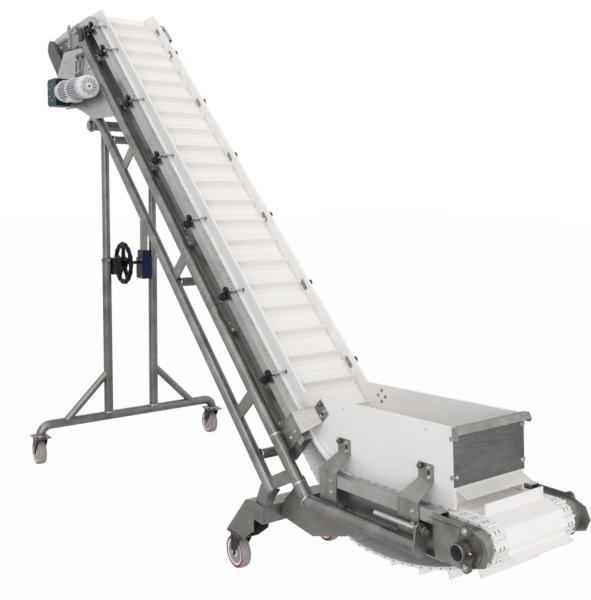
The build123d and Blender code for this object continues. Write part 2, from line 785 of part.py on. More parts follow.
# Front axle beam with a foot plate under each lower pipe, and the two caster arms
beam_x = kink_x - 310.0
beam_width = 80.0
beam_height = 76.0
beam_top = 378.0
beam_half_length = 292.0
beam_gusset = 40.0
with BuildPart() as axle_beam:
    with BuildSketch(Plane.XZ.offset(-beam_half_length)):
        with Locations((beam_x, beam_top - beam_height / 2)):
            Rectangle(beam_width, beam_height)
    extrude(amount=2 * beam_half_length)
    low = incline(lower_pipe_start, -truss_depth)
    for name, sign in sides:
        with BuildSketch(side(sign * truss_half_width + beam_gusset / 2)):
            with BuildLine():
                Polyline((beam_x - 30, beam_top), (beam_x + beam_width / 2, beam_top),
                         incline(lower_pipe_start - 8, -truss_depth - tube_od / 2),
                         incline(lower_pipe_start - 8, -truss_depth + tube_od / 2),
                         incline(lower_pipe_start, -truss_depth + tube_od / 2),
                         incline(lower_pipe_start, -truss_depth), incline(lower_pipe_start + 60, -truss_depth),
                         incline(lower_pipe_start + 60, -truss_depth - tube_od / 2), close=True)
            make_face()
        extrude(amount=beam_gusset)
        with BuildSketch(Plane(origin=(low[0], sign * truss_half_width, low[1]), z_dir=(up[0], 0, up[1]))):
            Circle(tube_od / 2)
        extrude(amount=100, mode=Mode.SUBTRACT)
export(axle_beam, "axle_beam")

# Caster arms: box brackets that reach back and down from the axle beam to the front casters
arm_width = 80.0
arm_sheet = 5.0
arm_back = beam_x - beam_width / 2
arm_rear = front_x - caster_plate_length / 2 - 6
arm_front = front_x + caster_plate_length / 2 + 14
arm_shoulder = 243.0
arm_knee = arm_back - 62
with BuildPart() as caster_arms:
    foot = caster_plate_height
    for name, sign in sides:
        for step in (-arm_width / 2, arm_width / 2 - arm_sheet):
            with BuildSketch(side(sign * front_half_track + step)):
                with BuildLine():
                    Polyline((arm_rear, foot), (arm_front, foot), (arm_back, arm_shoulder),
                             (arm_back, beam_top), (arm_knee, beam_top - 16), close=True)
                make_face()
            extrude(amount=-arm_sheet)
        with BuildSketch(side(sign * front_half_track - arm_width / 2 + arm_sheet)):
            with BuildLine():
                Polyline((arm_rear, foot), (arm_front, foot), (arm_front, foot + arm_sheet),
                         (arm_rear + 8, foot + arm_sheet), (arm_knee + 2, beam_top - 16 - arm_sheet),
                         (arm_back, beam_top - arm_sheet), (arm_back, beam_top), (arm_knee, beam_top - 16),
                         close=True)
            make_face()
        extrude(amount=-arm_width + 2 * arm_sheet)
export(caster_arms, "caster_arms")

# Head arms: box sections from the ends of the upper pipes along the head plates
arm_depth = 20.0
head_arm_end = 418.0
with BuildPart() as head_arms:
    for name, sign in sides:
        with BuildSketch(side(sign * bearing_face)):
            with BuildLine():
                Polyline(incline(pipe_end_incline, -24), incline(pipe_end_incline, 24), head(20, 80),
                         head(head_arm_end - 12, 80), head(head_arm_end, 68), head(head_arm_end, -8),
                         head(head_arm_end - 12, -20), head(30, -20), close=True)
            make_face()
        extrude(amount=-sign * arm_depth)
export(head_arms, "head_arms")

# Drive: torque plate on the near pipes, chain guard, gear reducer and motor
drive_face = truss_half_width + tube_od / 2
drive_sheet = 5.0
reducer_drop = (-129.0, -298.0)
reducer_length = 150.0
reducer_width = 92.0
reducer_height = 157.0
guard_radius = 74.0
guard_head_radius = 50.0
guard_bore = 64.0
flange_radius = 62.0
flange_depth = 25.0
motor_steps = ((55.0, 60.0), (66.0, 300.0), (69.0, 54.0))
top_x, top_z = incline(incline_length, 0)
reducer_x = top_x + reducer_drop[0]
reducer_z = top_z + reducer_drop[1]
torque_corners = ((-240.0, -45.0), (-373.0, -180.0), (-215.0, -385.0), (-45.0, -385.0))
with BuildPart() as drive_plate:
    with BuildSketch(side(-drive_face)):
        with BuildLine():
            Polyline(*[(top_x + x, top_z + z) for x, z in torque_corners], incline(incline_length - 484, -truss_depth),
                     incline(incline_length - 708, 0), incline(pipe_end_incline, 0), close=True)
        make_face()
    extrude(amount=drive_sheet)
export(drive_plate, "drive_plate")

guard_face = bearing_face + arm_depth
with BuildPart() as chain_guard:
    with BuildSketch(side(-guard_face)):
        with Locations(head_centre):
            Circle(guard_head_radius)
        with Locations((reducer_x, reducer_z)):
            Circle(guard_radius)
        make_hull()
    extrude(amount=drive_face - guard_face)
    with BuildSketch(side(-guard_face)):
        with Locations(head_centre):
            Circle(guard_bore / 2)
    extrude(amount=drive_face - guard_face - 3, mode=Mode.SUBTRACT)
export(chain_guard, "chain_guard")

reducer_face = drive_face + drive_sheet + flange_depth
reducer_y = -reducer_face - reducer_width / 2
with BuildPart() as gear_reducer:
    with Locations((reducer_x, reducer_y, reducer_z)):
        Box(reducer_length, reducer_width, reducer_height)
    chamfer(gear_reducer.edges().filter_by(Axis.Y), 14)
    with BuildSketch(side(-drive_face - drive_sheet)):
        with Locations((reducer_x, reducer_z)):
            Circle(flange_radius)
    extrude(amount=flange_depth)
export(gear_reducer, "gear_reducer")

with BuildPart() as drive_motor:
    place = reducer_x + reducer_length / 2
    for radius, length in motor_steps:
        with BuildSketch(Plane.YZ.offset(place)):
            with Locations((reducer_y, reducer_z)):
                Circle(radius)
        extrude(amount=length)
        place += length
export(drive_motor, "drive_motor")

# Hanger plates under the lower pipes, bored for the mast's pivot tube
with BuildPart() as mast_hangers:
    for name, sign in sides:
        face = truss_half_width - tube_od / 2 + hanger_bite
        with BuildSketch(side(sign * face)):
            with BuildLine():
                Polyline(incline(pivot_along - hanger_width / 2, -truss_depth + 12),
                         incline(pivot_along + hanger_width / 2, -truss_depth + 12),
                         incline(pivot_along + hanger_width / 2, -mast_pivot_drop),
                         incline(pivot_along - hanger_width / 2, -mast_pivot_drop), close=True)
            make_face()
            with Locations((mast_x, mast_pivot_height)):
                Circle(hanger_width / 2)
                Circle(pivot_tube_od / 2 + pivot_clearance, mode=Mode.SUBTRACT)
        extrude(amount=sign * hanger_sheet)
        low = incline(lower_pipe_start, -truss_depth)
        with BuildSketch(Plane(origin=(low[0], sign * truss_half_width, low[1]), z_dir=(up[0], 0, up[1]))):
            Circle(tube_od / 2)
        extrude(amount=lower_pipe_end - lower_pipe_start, mode=Mode.SUBTRACT)
export(mast_hangers, "mast_hangers")

# Upper mast: two telescoping tubes under the pivot tube
with BuildPart() as mast_upper:
    for name, sign in sides:
        with BuildSketch(Plane.XY.offset(mast_tube_foot)):
            with Locations((mast_x, sign * mast_half_width)):
                Circle(mast_tube_od / 2)
                Circle(mast_tube_od / 2 - mast_tube_wall, mode=Mode.SUBTRACT)
        extrude(amount=mast_pivot_height - mast_tube_foot)
    with BuildSketch(side(pivot_tube_half_length)):
        with Locations((mast_x, mast_pivot_height)):
            Circle(pivot_tube_od / 2)
    extrude(amount=2 * pivot_tube_half_length)
export(mast_upper, "mast_upper")

# Lower mast: base tube bent down at both ends, posts, braces
with BuildPart() as base_tube:
    with BuildLine() as path:
        foot = caster_plate_height
        inner_y = base_half_width - base_bend_radius
        bend_low = base_axis_height - base_bend_radius
        middle = base_bend_radius * cos(radians(45))
        Line((mast_x, -base_half_width, foot), (mast_x, -base_half_width, bend_low))
        ThreePointArc((mast_x, -base_half_width, bend_low),
                      (mast_x, -inner_y - middle, bend_low + middle), (mast_x, -inner_y, base_axis_height))
        Line((mast_x, -inner_y, base_axis_height), (mast_x, inner_y, base_axis_height))
        ThreePointArc((mast_x, inner_y, base_axis_height),
                      (mast_x, inner_y + middle, bend_low + middle), (mast_x, base_half_width, bend_low))
        Line((mast_x, base_half_width, bend_low), (mast_x, base_half_width, foot))
    with BuildSketch(Plane(origin=path.wires()[0] @ 0, z_dir=path.wires()[0] % 0)):
        Circle(post_od / 2)
    sweep(path=path.wires()[0])
export(base_tube, "base_tube")

with BuildPart() as mast_posts:
    for name, sign in sides:
        with BuildSketch(Plane.XY.offset(base_axis_height)):
            with Locations((mast_x, sign * mast_half_width)):
                Circle(post_od / 2)
                Circle(mast_tube_od / 2 + post_clearance, mode=Mode.SUBTRACT)
        extrude(amount=post_top - base_axis_height)
    with BuildSketch(side(inner_y)):
        with Locations((mast_x, base_axis_height)):
            Circle(post_od / 2)
    extrude(amount=2 * inner_y, mode=Mode.SUBTRACT)
export(mast_posts, "mast_posts")

with BuildPart() as mast_braces:
    brace_run = base_half_width - brace_from_base_end - mast_half_width + 25
    brace_rise = brace_post_height - base_axis_height + 28
    for name, sign in sides:
        size = hypot(brace_run, brace_rise)
        with BuildSketch(Plane(origin=(mast_x, sign * mast_half_width, base_axis_height + brace_rise),
                               z_dir=(0, sign * brace_run / size, -brace_rise / size))):
            Circle(brace_od / 2)
        extrude(amount=size)
    for name, sign in sides:
        with BuildSketch(Plane.XY.offset(base_axis_height)):
            with Locations((mast_x, sign * mast_half_width)):
                Circle(post_od / 2)
        extrude(amount=post_top - base_axis_height, mode=Mode.SUBTRACT)
    with BuildSketch(side(inner_y)):
        with Locations((mast_x, base_axis_height)):
            Circle(post_od / 2)
    extrude(amount=2 * inner_y, mode=Mode.SUBTRACT)
export(mast_braces, "mast_braces")

# Lift between the posts: bearing block, cross shaft, gearbox with its screw guard, handwheel
post_inner = mast_half_width - post_od / 2
block_depth = 55.0
gearbox_depth = 64.0
gearbox_length = 90.0
with BuildPart() as lift_block:
    with Locations((mast_x, -post_inner + block_depth / 2, lift_axis_height - 15)):
        Box(60, block_depth, 100)
    with BuildSketch(side(-post_inner + block_depth)):
        with Locations((mast_x, lift_axis_height)):
            Circle(lift_shaft_diameter / 2)
    extrude(amount=block_depth / 2, mode=Mode.SUBTRACT)
export(lift_block, "lift_block")

gearbox_above = 30.0
gearbox_below = 100.0
gearbox_cap = 46.0
screw_guard_above = 260.0
screw_guard_width = 35.0
with BuildPart() as lift_gearbox:
    gearbox_y = post_inner - gearbox_depth / 2
    steps = (
        (gearbox_length, gearbox_depth, -gearbox_below, gearbox_above),
        (gearbox_length - 12, gearbox_depth - 14, gearbox_above, gearbox_above + gearbox_cap),
    )
    for length, depth, low, high in steps:
        with Locations((mast_x, gearbox_y, lift_axis_height + (low + high) / 2)):
            Box(length, depth, high - low)
    with BuildSketch(side(post_inner - gearbox_depth)):
        with Locations((mast_x, lift_axis_height)):
            Circle(lift_shaft_diameter / 2)
    extrude(amount=-gearbox_depth / 3, mode=Mode.SUBTRACT)
export(lift_gearbox, "lift_gearbox")

with BuildPart() as screw_guard:
    low = gearbox_above + gearbox_cap
    with Locations((mast_x, gearbox_y, lift_axis_height + (low + screw_guard_above) / 2)):
        Box(screw_guard_width, screw_guard_width, screw_guard_above - low)
export(screw_guard, "screw_guard")

shaft_bite = 15.0
with BuildPart() as lift_shaft:
    shaft_from = -post_inner + block_depth - shaft_bite
    shaft_to = post_inner - gearbox_depth + shaft_bite
    with BuildSketch(side(shaft_to)):
        with Locations((mast_x, lift_axis_height)):
            Circle(lift_shaft_diameter / 2)
    extrude(amount=shaft_to - shaft_from)
export(lift_shaft, "lift_shaft")

spoke_count = 5
hub_radius = 24.0
hub_width = 34.0
with BuildPart() as handwheel:
    ring_radius = handwheel_diameter / 2 - handwheel_rim / 2
    with BuildSketch(Plane.YZ.offset(mast_x)):
        with Locations((handwheel_place, lift_axis_height + ring_radius)):
            RegularPolygon(handwheel_rim / 2, 6)
    revolve(axis=Axis((mast_x, 0, lift_axis_height), (0, 1, 0)))
    with BuildSketch(side(handwheel_place + hub_width / 2)):
        with Locations((mast_x, lift_axis_height)):
            Circle(hub_radius)
    extrude(amount=hub_width)
    with BuildSketch(side(handwheel_place + 5)):
        with Locations((mast_x, lift_axis_height)):
            with PolarLocations(0, spoke_count, start_angle=90):
                with Locations((ring_radius / 2, 0)):
                    Rectangle(ring_radius, 18)
    extrude(amount=10)
    with BuildSketch(side(handwheel_place + hub_width)):
        with Locations((mast_x, lift_axis_height)):
            Circle(lift_shaft_diameter / 2)
    extrude(amount=2 * hub_width, mode=Mode.SUBTRACT)
export(handwheel, "handwheel")

# Casters: top plate with king pin, swivelling fork, hub and tyre
king_pin_diameter = 20.0
crown_top = 166.0
crown_bottom = 158.0
crown_length = 76.0
leg_width = 44.0
hub_rim_radius = 55.0
hub_disc_width = 38.0
hub_boss_radius = 20.0
tyre_chamfer = 8.0
wheel_radius = wheel_diameter / 2
leg_inner = wheel_width / 2 + side_gap
caster_rows = (("front", front_x, front_half_track), ("rear", mast_x, base_half_width))
for row, x, half_track in caster_rows:
    with BuildPart() as plates:
        for hand, sign in sides:
            with BuildSketch(Plane.XY.offset(caster_plate_height)):
                with Locations((x, sign * half_track)):
                    Rectangle(caster_plate_length, caster_plate_width)
            extrude(amount=-caster_plate_thickness)
            with BuildSketch(Plane.XY.offset(caster_plate_height - caster_plate_thickness)):
                with Locations((x, sign * half_track)):
                    Circle(king_pin_diameter / 2)
            extrude(amount=crown_bottom - caster_plate_height + caster_plate_thickness)
    export(plates, "caster_plates_" + row)
    for hand, sign in sides:
        y = sign * half_track
        axle_x = x - caster_trail
        with BuildPart() as fork:
            with BuildSketch(Plane.XY.offset(crown_bottom)):
                with Locations((x - caster_trail / 3, y)):
                    Rectangle(crown_length, 2 * leg_inner + 2 * fork_sheet)
            extrude(amount=crown_top - crown_bottom)
            with BuildSketch(Plane.XY.offset(crown_bottom)):
                with Locations((x, y)):
                    Circle(king_pin_diameter / 2 + bore_clearance)
            extrude(amount=caster_plate_height - crown_bottom, mode=Mode.SUBTRACT)
            for face in (y - leg_inner, y + leg_inner + fork_sheet):
                with BuildSketch(side(face)):
                    with BuildLine():
                        Polyline((x - caster_trail / 3 - crown_length / 2, crown_top),
                                 (x - caster_trail / 3 + crown_length / 2, crown_top),
                                 (axle_x + leg_width / 2, wheel_radius), (axle_x - leg_width / 2, wheel_radius),
                                 close=True)
                    make_face()
                    with Locations((axle_x, wheel_radius)):
                        Circle(leg_width / 2)
                extrude(amount=fork_sheet)
            with BuildSketch(side(y + leg_inner)):
                with Locations((axle_x, wheel_radius)):
                    Circle(axle_diameter / 2)
            extrude(amount=2 * leg_inner)
        export(fork, "fork_" + row + "_" + hand)
        with BuildPart() as hub:
            for half_width, radius in ((hub_disc_width / 2, hub_rim_radius), (wheel_width / 2, hub_boss_radius)):
                with BuildSketch(side(y + half_width)):
                    with Locations((axle_x, wheel_radius)):
                        Circle(radius)
                        Circle(axle_diameter / 2 + bore_clearance, mode=Mode.SUBTRACT)
                extrude(amount=2 * half_width)
        export(hub, "hub_" + row + "_" + hand)
        with BuildPart() as tyre:
            with BuildSketch(Plane.YZ.offset(axle_x)):
                with BuildLine():
                    low = wheel_radius + hub_rim_radius
                    high = 2 * wheel_radius
                    half_width = wheel_width / 2
                    Polyline((y - half_width, low), (y + half_width, low), (y + half_width, high - tyre_chamfer),
                             (y + half_width - tyre_chamfer, high), (y - half_width + tyre_chamfer, high),
                             (y - half_width, high - tyre_chamfer), close=True)
                make_face()
            revolve(axis=Axis((axle_x, 0, wheel_radius), (0, 1, 0)))
        export(tyre, "tyre_" + row + "_" + hand)
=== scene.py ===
import math

import bmesh
import bpy
from mathutils import Matrix, Vector


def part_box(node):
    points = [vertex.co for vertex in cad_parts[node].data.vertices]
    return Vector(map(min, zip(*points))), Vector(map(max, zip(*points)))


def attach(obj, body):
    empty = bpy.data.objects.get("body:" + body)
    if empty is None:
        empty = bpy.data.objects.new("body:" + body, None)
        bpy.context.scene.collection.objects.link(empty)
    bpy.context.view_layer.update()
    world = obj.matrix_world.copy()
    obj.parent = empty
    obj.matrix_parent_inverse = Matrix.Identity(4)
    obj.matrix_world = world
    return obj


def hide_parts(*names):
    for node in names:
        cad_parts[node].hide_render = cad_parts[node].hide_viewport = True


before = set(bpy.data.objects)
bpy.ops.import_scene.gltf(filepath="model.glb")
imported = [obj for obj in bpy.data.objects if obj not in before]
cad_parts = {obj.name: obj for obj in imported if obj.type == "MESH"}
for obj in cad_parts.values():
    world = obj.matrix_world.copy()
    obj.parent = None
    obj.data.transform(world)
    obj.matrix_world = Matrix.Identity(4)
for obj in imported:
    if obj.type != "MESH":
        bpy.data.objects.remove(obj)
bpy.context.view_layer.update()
scene = bpy.context.scene
lengthwise, near_side, far_side, upright = map(Vector, ((1, 0, 0), (0, -1, 0), (0, 1, 0), (0, 0, 1)))

# Studio: a plain white room with an even light, a soft lamp from above and a stronger one from the
# camera's side, over a pale floor. The camera stands on the drive side of the infeed end and looks
# up the machine.
camera_data = bpy.data.cameras.new("camera")
camera = bpy.data.objects.new("camera", camera_data)
scene.collection.objects.link(camera)
scene.camera = camera
camera_data.lens = 48.25
camera_data.shift_y = -0.0236
yaw, pitch, roll = (math.radians(a) for a in (54.971, 7.4866, 0.9192))
ahead = Vector((-math.sin(yaw) * math.cos(pitch), math.cos(yaw) * math.cos(pitch), -math.sin(pitch)))
level = Vector((math.cos(yaw), math.sin(yaw), 0))
above = level.cross(ahead)
right = math.cos(roll) * level + math.sin(roll) * above
top = math.cos(roll) * above - math.sin(roll) * level
stand = Matrix((right, top, -ahead)).transposed().to_4x4()
camera.matrix_world = Matrix.Translation((3.4344, -2.0075, 1.7142)) @ stand


def put(tree, kind, settings=(), inputs=()):
    """Add a node, with its settings and with its inputs set or linked by name or number."""
    new = tree.nodes.new(kind)
    for key, value in dict(settings).items():
        setattr(new, key, value)
    for key, value in dict(inputs).items():
        if isinstance(value, bpy.types.NodeSocket):
            tree.links.new(value, new.inputs[key])
        else:
            new.inputs[key].default_value = value
    return new


def calc(tree, operation, *values, clamp=False):
    """The result of a Math node on values or other results."""
    settings = {"operation": operation, "use_clamp": clamp}
    return put(tree, "ShaderNodeMath", settings, enumerate(values)).outputs[0]


scene.view_settings.view_transform = "Standard"
world = bpy.data.worlds.new("studio")
scene.world = world
world.use_nodes = True
tree = world.node_tree
tree.nodes.clear()
rays = put(tree, "ShaderNodeLightPath").outputs
seen = calc(tree, "ADD", rays["Is Camera Ray"], rays["Is Glossy Ray"])
seen = calc(tree, "ADD", seen, rays["Is Transmission Ray"], clamp=True)
soft = put(tree, "ShaderNodeBackground", inputs={"Color": (1.0, 0.992, 0.985, 1), "Strength": 0.64})
white = put(tree, "ShaderNodeBackground", inputs={"Color": (1, 1, 1, 1), "Strength": 1.0})
mixed = put(tree, "ShaderNodeMixShader", inputs={0: seen, 1: soft.outputs[0], 2: white.outputs[0]})
put(tree, "ShaderNodeOutputWorld", inputs={"Surface": mixed.outputs[0]})

# Each lamp: name, strength, size as an angle, turn in degrees
for name, energy, angle, turned in (("key", 0.38, 0.5, (38, 6, 20)), ("fill", 1.15, 0.9, (80, 0, 60))):
    lamp = bpy.data.lights.new(name, "SUN")
    lamp.energy = energy
    lamp.angle = angle
    lamp.specular_factor = 0.25
    holder = bpy.data.objects.new(name, lamp)
    holder.rotation_euler = [math.radians(a) for a in turned]
    scene.collection.objects.link(holder)

floor_reach = 30
floor_mesh = bpy.data.meshes.new("floor")
floor_mesh.from_pydata([(x * floor_reach, y * floor_reach, 0) for x, y in ((-1, -1), (1, -1), (1, 1), (-1, 1))],
                       [], [(0, 1, 2, 3)])
floor = bpy.data.objects.new("floor", floor_mesh)
scene.collection.objects.link(floor)
floor_paint = bpy.data.materials.new("floor")
floor_paint.use_nodes = True
tree = floor_paint.node_tree
tree.nodes.clear()
pale = put(tree, "ShaderNodeBsdfDiffuse", inputs={"Color": (0.88, 0.88, 0.88, 1)})
glow = put(tree, "ShaderNodeEmission", inputs={"Color": (1, 1, 1, 1), "Strength": 1.0})
share = calc(tree, "MULTIPLY", put(tree, "ShaderNodeLightPath").outputs["Is Camera Ray"], 0.96)
mixed = put(tree, "ShaderNodeMixShader", inputs={0: share, 1: pale.outputs[0], 2: glow.outputs[0]})
put(tree, "ShaderNodeOutputMaterial", inputs={"Surface": mixed.outputs[0]})
floor_mesh.materials.append(floor_paint)

# Frame tubes: two stainless pipes a side with flat ties between them, cross tubes below.
# Drawn tube with a satin brushed skin, bent at the foot of the incline and welded there.
incline_angle, infeed_angle, head_angle = (math.radians(a) for a in (41.0, 5.0, 5.0))
up = Vector((-math.cos(incline_angle), 0, math.sin(incline_angle)))
out = Vector((math.cos(infeed_angle), 0, math.sin(infeed_angle)))
back = Vector((-math.cos(head_angle), 0, -math.sin(head_angle)))
kink = Vector((1.0480124, 0, 0.493))
incline_length = 3.065
pipe_side, pipe_radius, truss_depth = 0.262, 0.0254, 0.1945
# Each run of the frame: start, direction, and the direction square to it
incline = (kink, up, Vector((up.z, 0, -up.x)))
infeed = (kink, out, Vector((-out.z, 0, out.x)))
head = (kink + up * incline_length, back, Vector((back.z, 0, -back.x)))


def spot(run, along, rise, y=0.0):
    """A point beside a run of the frame: along it, square to it, and across the machine."""
    start, ahead_of, square = run
    return start + ahead_of * along + square * rise + Vector((0, y, 0))


def finish_group(name, inputs):
    """A group that turns a place into a finish; gives its tree and its inputs' values."""
    group = bpy.data.node_groups.new(name, "ShaderNodeTree")
    sockets = group.interface
    sockets.new_socket("Vector", in_out="INPUT", socket_type="NodeSocketVector")
    for label, value in inputs.items():
        kind = "NodeSocketFloat" if isinstance(value, float) else "NodeSocketColor"
        sockets.new_socket(label, in_out="INPUT", socket_type=kind).default_value = value
    for label, kind in (("Color", "Color"), ("Roughness", "Float"), ("Height", "Float")):
        sockets.new_socket(label, in_out="OUTPUT", socket_type="NodeSocket" + kind)
    return group, group.nodes.new("NodeGroupInput").outputs


def noise(tree, vector, scale, detail, roughness=0.5):
    inputs = {"Vector": vector, "Scale": scale, "Detail": detail, "Roughness": roughness}
    return put(tree, "ShaderNodeTexNoise", inputs=inputs).outputs[0]


def ramp(tree, value, low, high):
    """A value stretched from between low and high to between 0 and 1."""
    inputs = {"Value": value, "From Min": low, "From Max": high}
    return put(tree, "ShaderNodeMapRange", {"clamp": True}, inputs).outputs[0]


def blend(tree, share, first, second, kind="MIX"):
    """Two colours, mixed or multiplied by a share."""
    settings = {"data_type": "RGBA", "blend_type": kind}
    return put(tree, "ShaderNodeMix", settings, {0: share, 6: first, 7: second}).outputs[2]


# brushed_steel: fine scratches along the piece's own X, over slow clouds of darker and lighter metal
brushed_steel, given = finish_group("brushed_steel", {
    "Light": (0.5, 0.5, 0.5, 1), "Dark": (0.3, 0.3, 0.3, 1), "Scratches": 420.0, "Clouds": 9.0, "Finish": 0.36})
stretched = put(brushed_steel, "ShaderNodeVectorMath", {"operation": "MULTIPLY"},
                {0: given["Vector"], 1: (0.035, 1.0, 1.0)})
scratches = noise(brushed_steel, stretched.outputs[0], given["Scratches"], 3.0)
clouds = noise(brushed_steel, given["Vector"], given["Clouds"], 4.0, 0.6)
both = put(brushed_steel, "ShaderNodeMix", {"data_type": "FLOAT"}, {0: 0.62, 2: scratches, 3: clouds})
metal = blend(brushed_steel, ramp(brushed_steel, both.outputs[0], 0.36, 0.64), given["Dark"], given["Light"])
rough = calc(brushed_steel, "MULTIPLY_ADD", clouds, 0.3, given["Finish"])
put(brushed_steel, "NodeGroupOutput", inputs={
    "Color": metal, "Roughness": calc(brushed_steel, "SUBTRACT", rough, 0.15), "Height": scratches})


def finished(name, group, values, relief, own, turned=None):
    """A material that lays a finish group on the piece's own space, turned by angles in degrees.
    relief: strength and distance of the bump; own: inputs of the shader with one value all over."""
    material = bpy.data.materials.new(name)
    material.use_nodes = True
    nodes = material.node_tree
    shader = nodes.nodes["Principled BSDF"]
    place = put(nodes, "ShaderNodeTexCoord").outputs["Object"]
    if turned:
        angles = [math.radians(a) for a in turned]
        place = put(nodes, "ShaderNodeMapping", {"vector_type": "TEXTURE"},
                    {"Vector": place, "Rotation": angles}).outputs[0]
    shown = put(nodes, "ShaderNodeGroup", {"node_tree": group}, {"Vector": place, **values}).outputs
    bump = put(nodes, "ShaderNodeBump",
               inputs={"Strength": relief[0], "Distance": relief[1], "Height": shown["Height"]})
    for label, value in own.items():
        shader.inputs[label].default_value = value
    nodes.links.new(shown["Color"], shader.inputs["Base Color"])
    nodes.links.new(shown["Roughness"], shader.inputs["Roughness"])
    nodes.links.new(bump.outputs[0], shader.inputs["Normal"])
    return material


def steel(name, light, dark, turned=(0, 0, 0), finish=0.36, metallic=0.85, clouds=9.0):
    """Brushed steel whose scratches run along X turned by the given angles in degrees."""
    values = {"Light": (*light, 1), "Dark": (*dark, 1), "Clouds": clouds, "Finish": finish}
    return finished(name, brushed_steel, values, (0.5, 0.00012), {"Metallic": metallic}, turned)


def dress(material, *names):
    """Give a finish to CAD nodes."""
    for name in names:
        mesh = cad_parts[name].data
        mesh.materials.clear()
        mesh.materials.append(material)


tube_light, tube_dark = (0.33, 0.325, 0.315), (0.165, 0.16, 0.15)
tube_incline = steel("tube_incline", tube_light, tube_dark, (0, 41, 0))
tube_across = steel("tube_across", tube_light, tube_dark, (0, 0, 90))
plate_satin = steel("plate_satin", (0.36, 0.35, 0.335), (0.2, 0.195, 0.185), (0, 5, 0), clouds=14.0)
bright_steel = steel("bright_steel", (0.6, 0.6, 0.6), (0.38, 0.38, 0.38), (0, 0, 0), 0.32, 1.0, 30.0)
dress(tube_incline, "upper_pipes", "lower_pipes")
dress(tube_across, "truss_cross_tubes", "cross_ties")
dress(plate_satin, "truss_ties")


def at(point, axis, across=None):
    """A place for a turned shape: its Z along the axis and its X near the second direction."""
    axis = axis.normalized()
    if across is None:
        across = lengthwise if abs(axis.x) < 0.9 else far_side
    side_way = axis.cross(across).normalized()
    return Matrix.Translation(point) @ Matrix((side_way.cross(axis), side_way, axis)).transposed().to_4x4()


def skin(bm, rows, closed=False):
    """Faces between rows of as many points each. Closed, the last row meets the first; else both ends fill."""
    for low, high in zip(rows, rows[1:] + rows[:1] if closed else rows[1:]):
        for k in range(len(low)):
            n = (k + 1) % len(low)
            bm.faces.new((low[k], low[n], high[n], high[k]))
    if not closed:
        bm.faces.new(rows[0][::-1])
        bm.faces.new(rows[-1])


def turn(bm, place, profile, segments=24, lobes=0, depth=0.0, ring=False):
    """Turn (radius, height) pairs round Z; lobes wave the rim. The ends are closed, a ring's middle is open."""
    rows, phase = [], 0.0 if ring else 0.5
    for radius, height in profile:
        row = []
        for k in range(segments):
            a = 2 * math.pi * (k + phase) / segments
            reach = radius * (1 - depth * (0.5 - 0.5 * math.cos(lobes * a)))
            row.append(bm.verts.new(place @ Vector((reach * math.cos(a), reach * math.sin(a), height))))
        rows.append(row)
    skin(bm, rows, ring)


def mirrored(*half, middle=()):
    """A turned profile from its lower half of (radius, height) pairs and its middle, where it has one."""
    return half + middle + tuple((radius, -height) for radius, height in reversed(half))


def block(bm, place, size, bevel=0.0):
    """A block with eased edges, centred on a place."""
    made = bmesh.ops.create_cube(bm, size=1.0, matrix=place @ Matrix.Diagonal((*size, 1)))
    if bevel:
        edges = {e for v in made["verts"] for e in v.link_edges}
        bmesh.ops.bevel(bm, geom=list(edges), offset=bevel, segments=2, affect="EDGES", profile=0.6)


def slab(bm, outline, y_from, y_to):
    """A flat plate with a side-view outline of (x, z) pairs, from one y to another."""
    skin(bm, [[bm.verts.new((x, y, z)) for x, z in outline] for y in (y_from, y_to)])


def plate(bm, run, outline, y_from, y_to, start=(0.0, 0.0)):
    """A flat plate beside a run of the frame, with an outline of (along, rise) pairs from a start."""
    corners = [spot(run, start[0] + along, start[1] + rise) for along, rise in outline]
    slab(bm, [(c.x, c.z) for c in corners], y_from, y_to)


def mesh_of(name, bm):
    """The mesh of a built shape, with its faces turned outward."""
    bmesh.ops.recalc_face_normals(bm, faces=bm.faces)
    mesh = bpy.data.meshes.new(name)
    bm.to_mesh(mesh)
    bm.free()
    return mesh


def join(name, mesh, material, body, smooth):
    """Make a mesh an object of the model, on its body."""
    for face in mesh.polygons:
        face.use_smooth = True
    mesh.set_sharp_from_angle(angle=math.radians(smooth))
    mesh.materials.clear()
    mesh.materials.append(material)
    made = bpy.data.objects.new(name, mesh)
    scene.collection.objects.link(made)
    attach(made, body)
    return made


def piece(name, bm, material, body="conveyor", smooth=32.0):
    """Close a built shape into an object of the model."""
    return join(name, mesh_of(name, bm), material, body, smooth)


# set_on_points: stands one small shape on every point, Z along "axis" and X along "run"
set_on_points = bpy.data.node_groups.new("set_on_points", "GeometryNodeTree")
for label, kind, way in (("Geometry", "Geometry", "INPUT"), ("Shape", "Object", "INPUT"),
                         ("Geometry", "Geometry", "OUTPUT")):
    set_on_points.interface.new_socket(label, in_out=way, socket_type="NodeSocket" + kind)
given = set_on_points.nodes.new("NodeGroupInput").outputs


def stored(label):
    """The direction that each point keeps under a name."""
    node = put(set_on_points, "GeometryNodeInputNamedAttribute", {"data_type": "FLOAT_VECTOR"}, {"Name": label})
    return next(o for o in node.outputs if o.enabled and o.name == "Attribute")


shape = put(set_on_points, "GeometryNodeObjectInfo", inputs={"Object": given["Shape"]})
facing = put(set_on_points, "FunctionNodeAxesToRotation", {"primary_axis": "Z", "secondary_axis": "X"},
             {"Primary Axis": stored("axis"), "Secondary Axis": stored("run")})
stood = put(set_on_points, "GeometryNodeInstanceOnPoints", inputs={
    "Points": given["Geometry"], "Instance": shape.outputs["Geometry"], "Rotation": facing.outputs[0]})
solid = put(set_on_points, "GeometryNodeRealizeInstances", inputs={"Geometry": stood.outputs[0]})
put(set_on_points, "NodeGroupOutput", inputs={"Geometry": solid.outputs[0]})
shape_input = set_on_points.interface.items_tree["Shape"].identifier


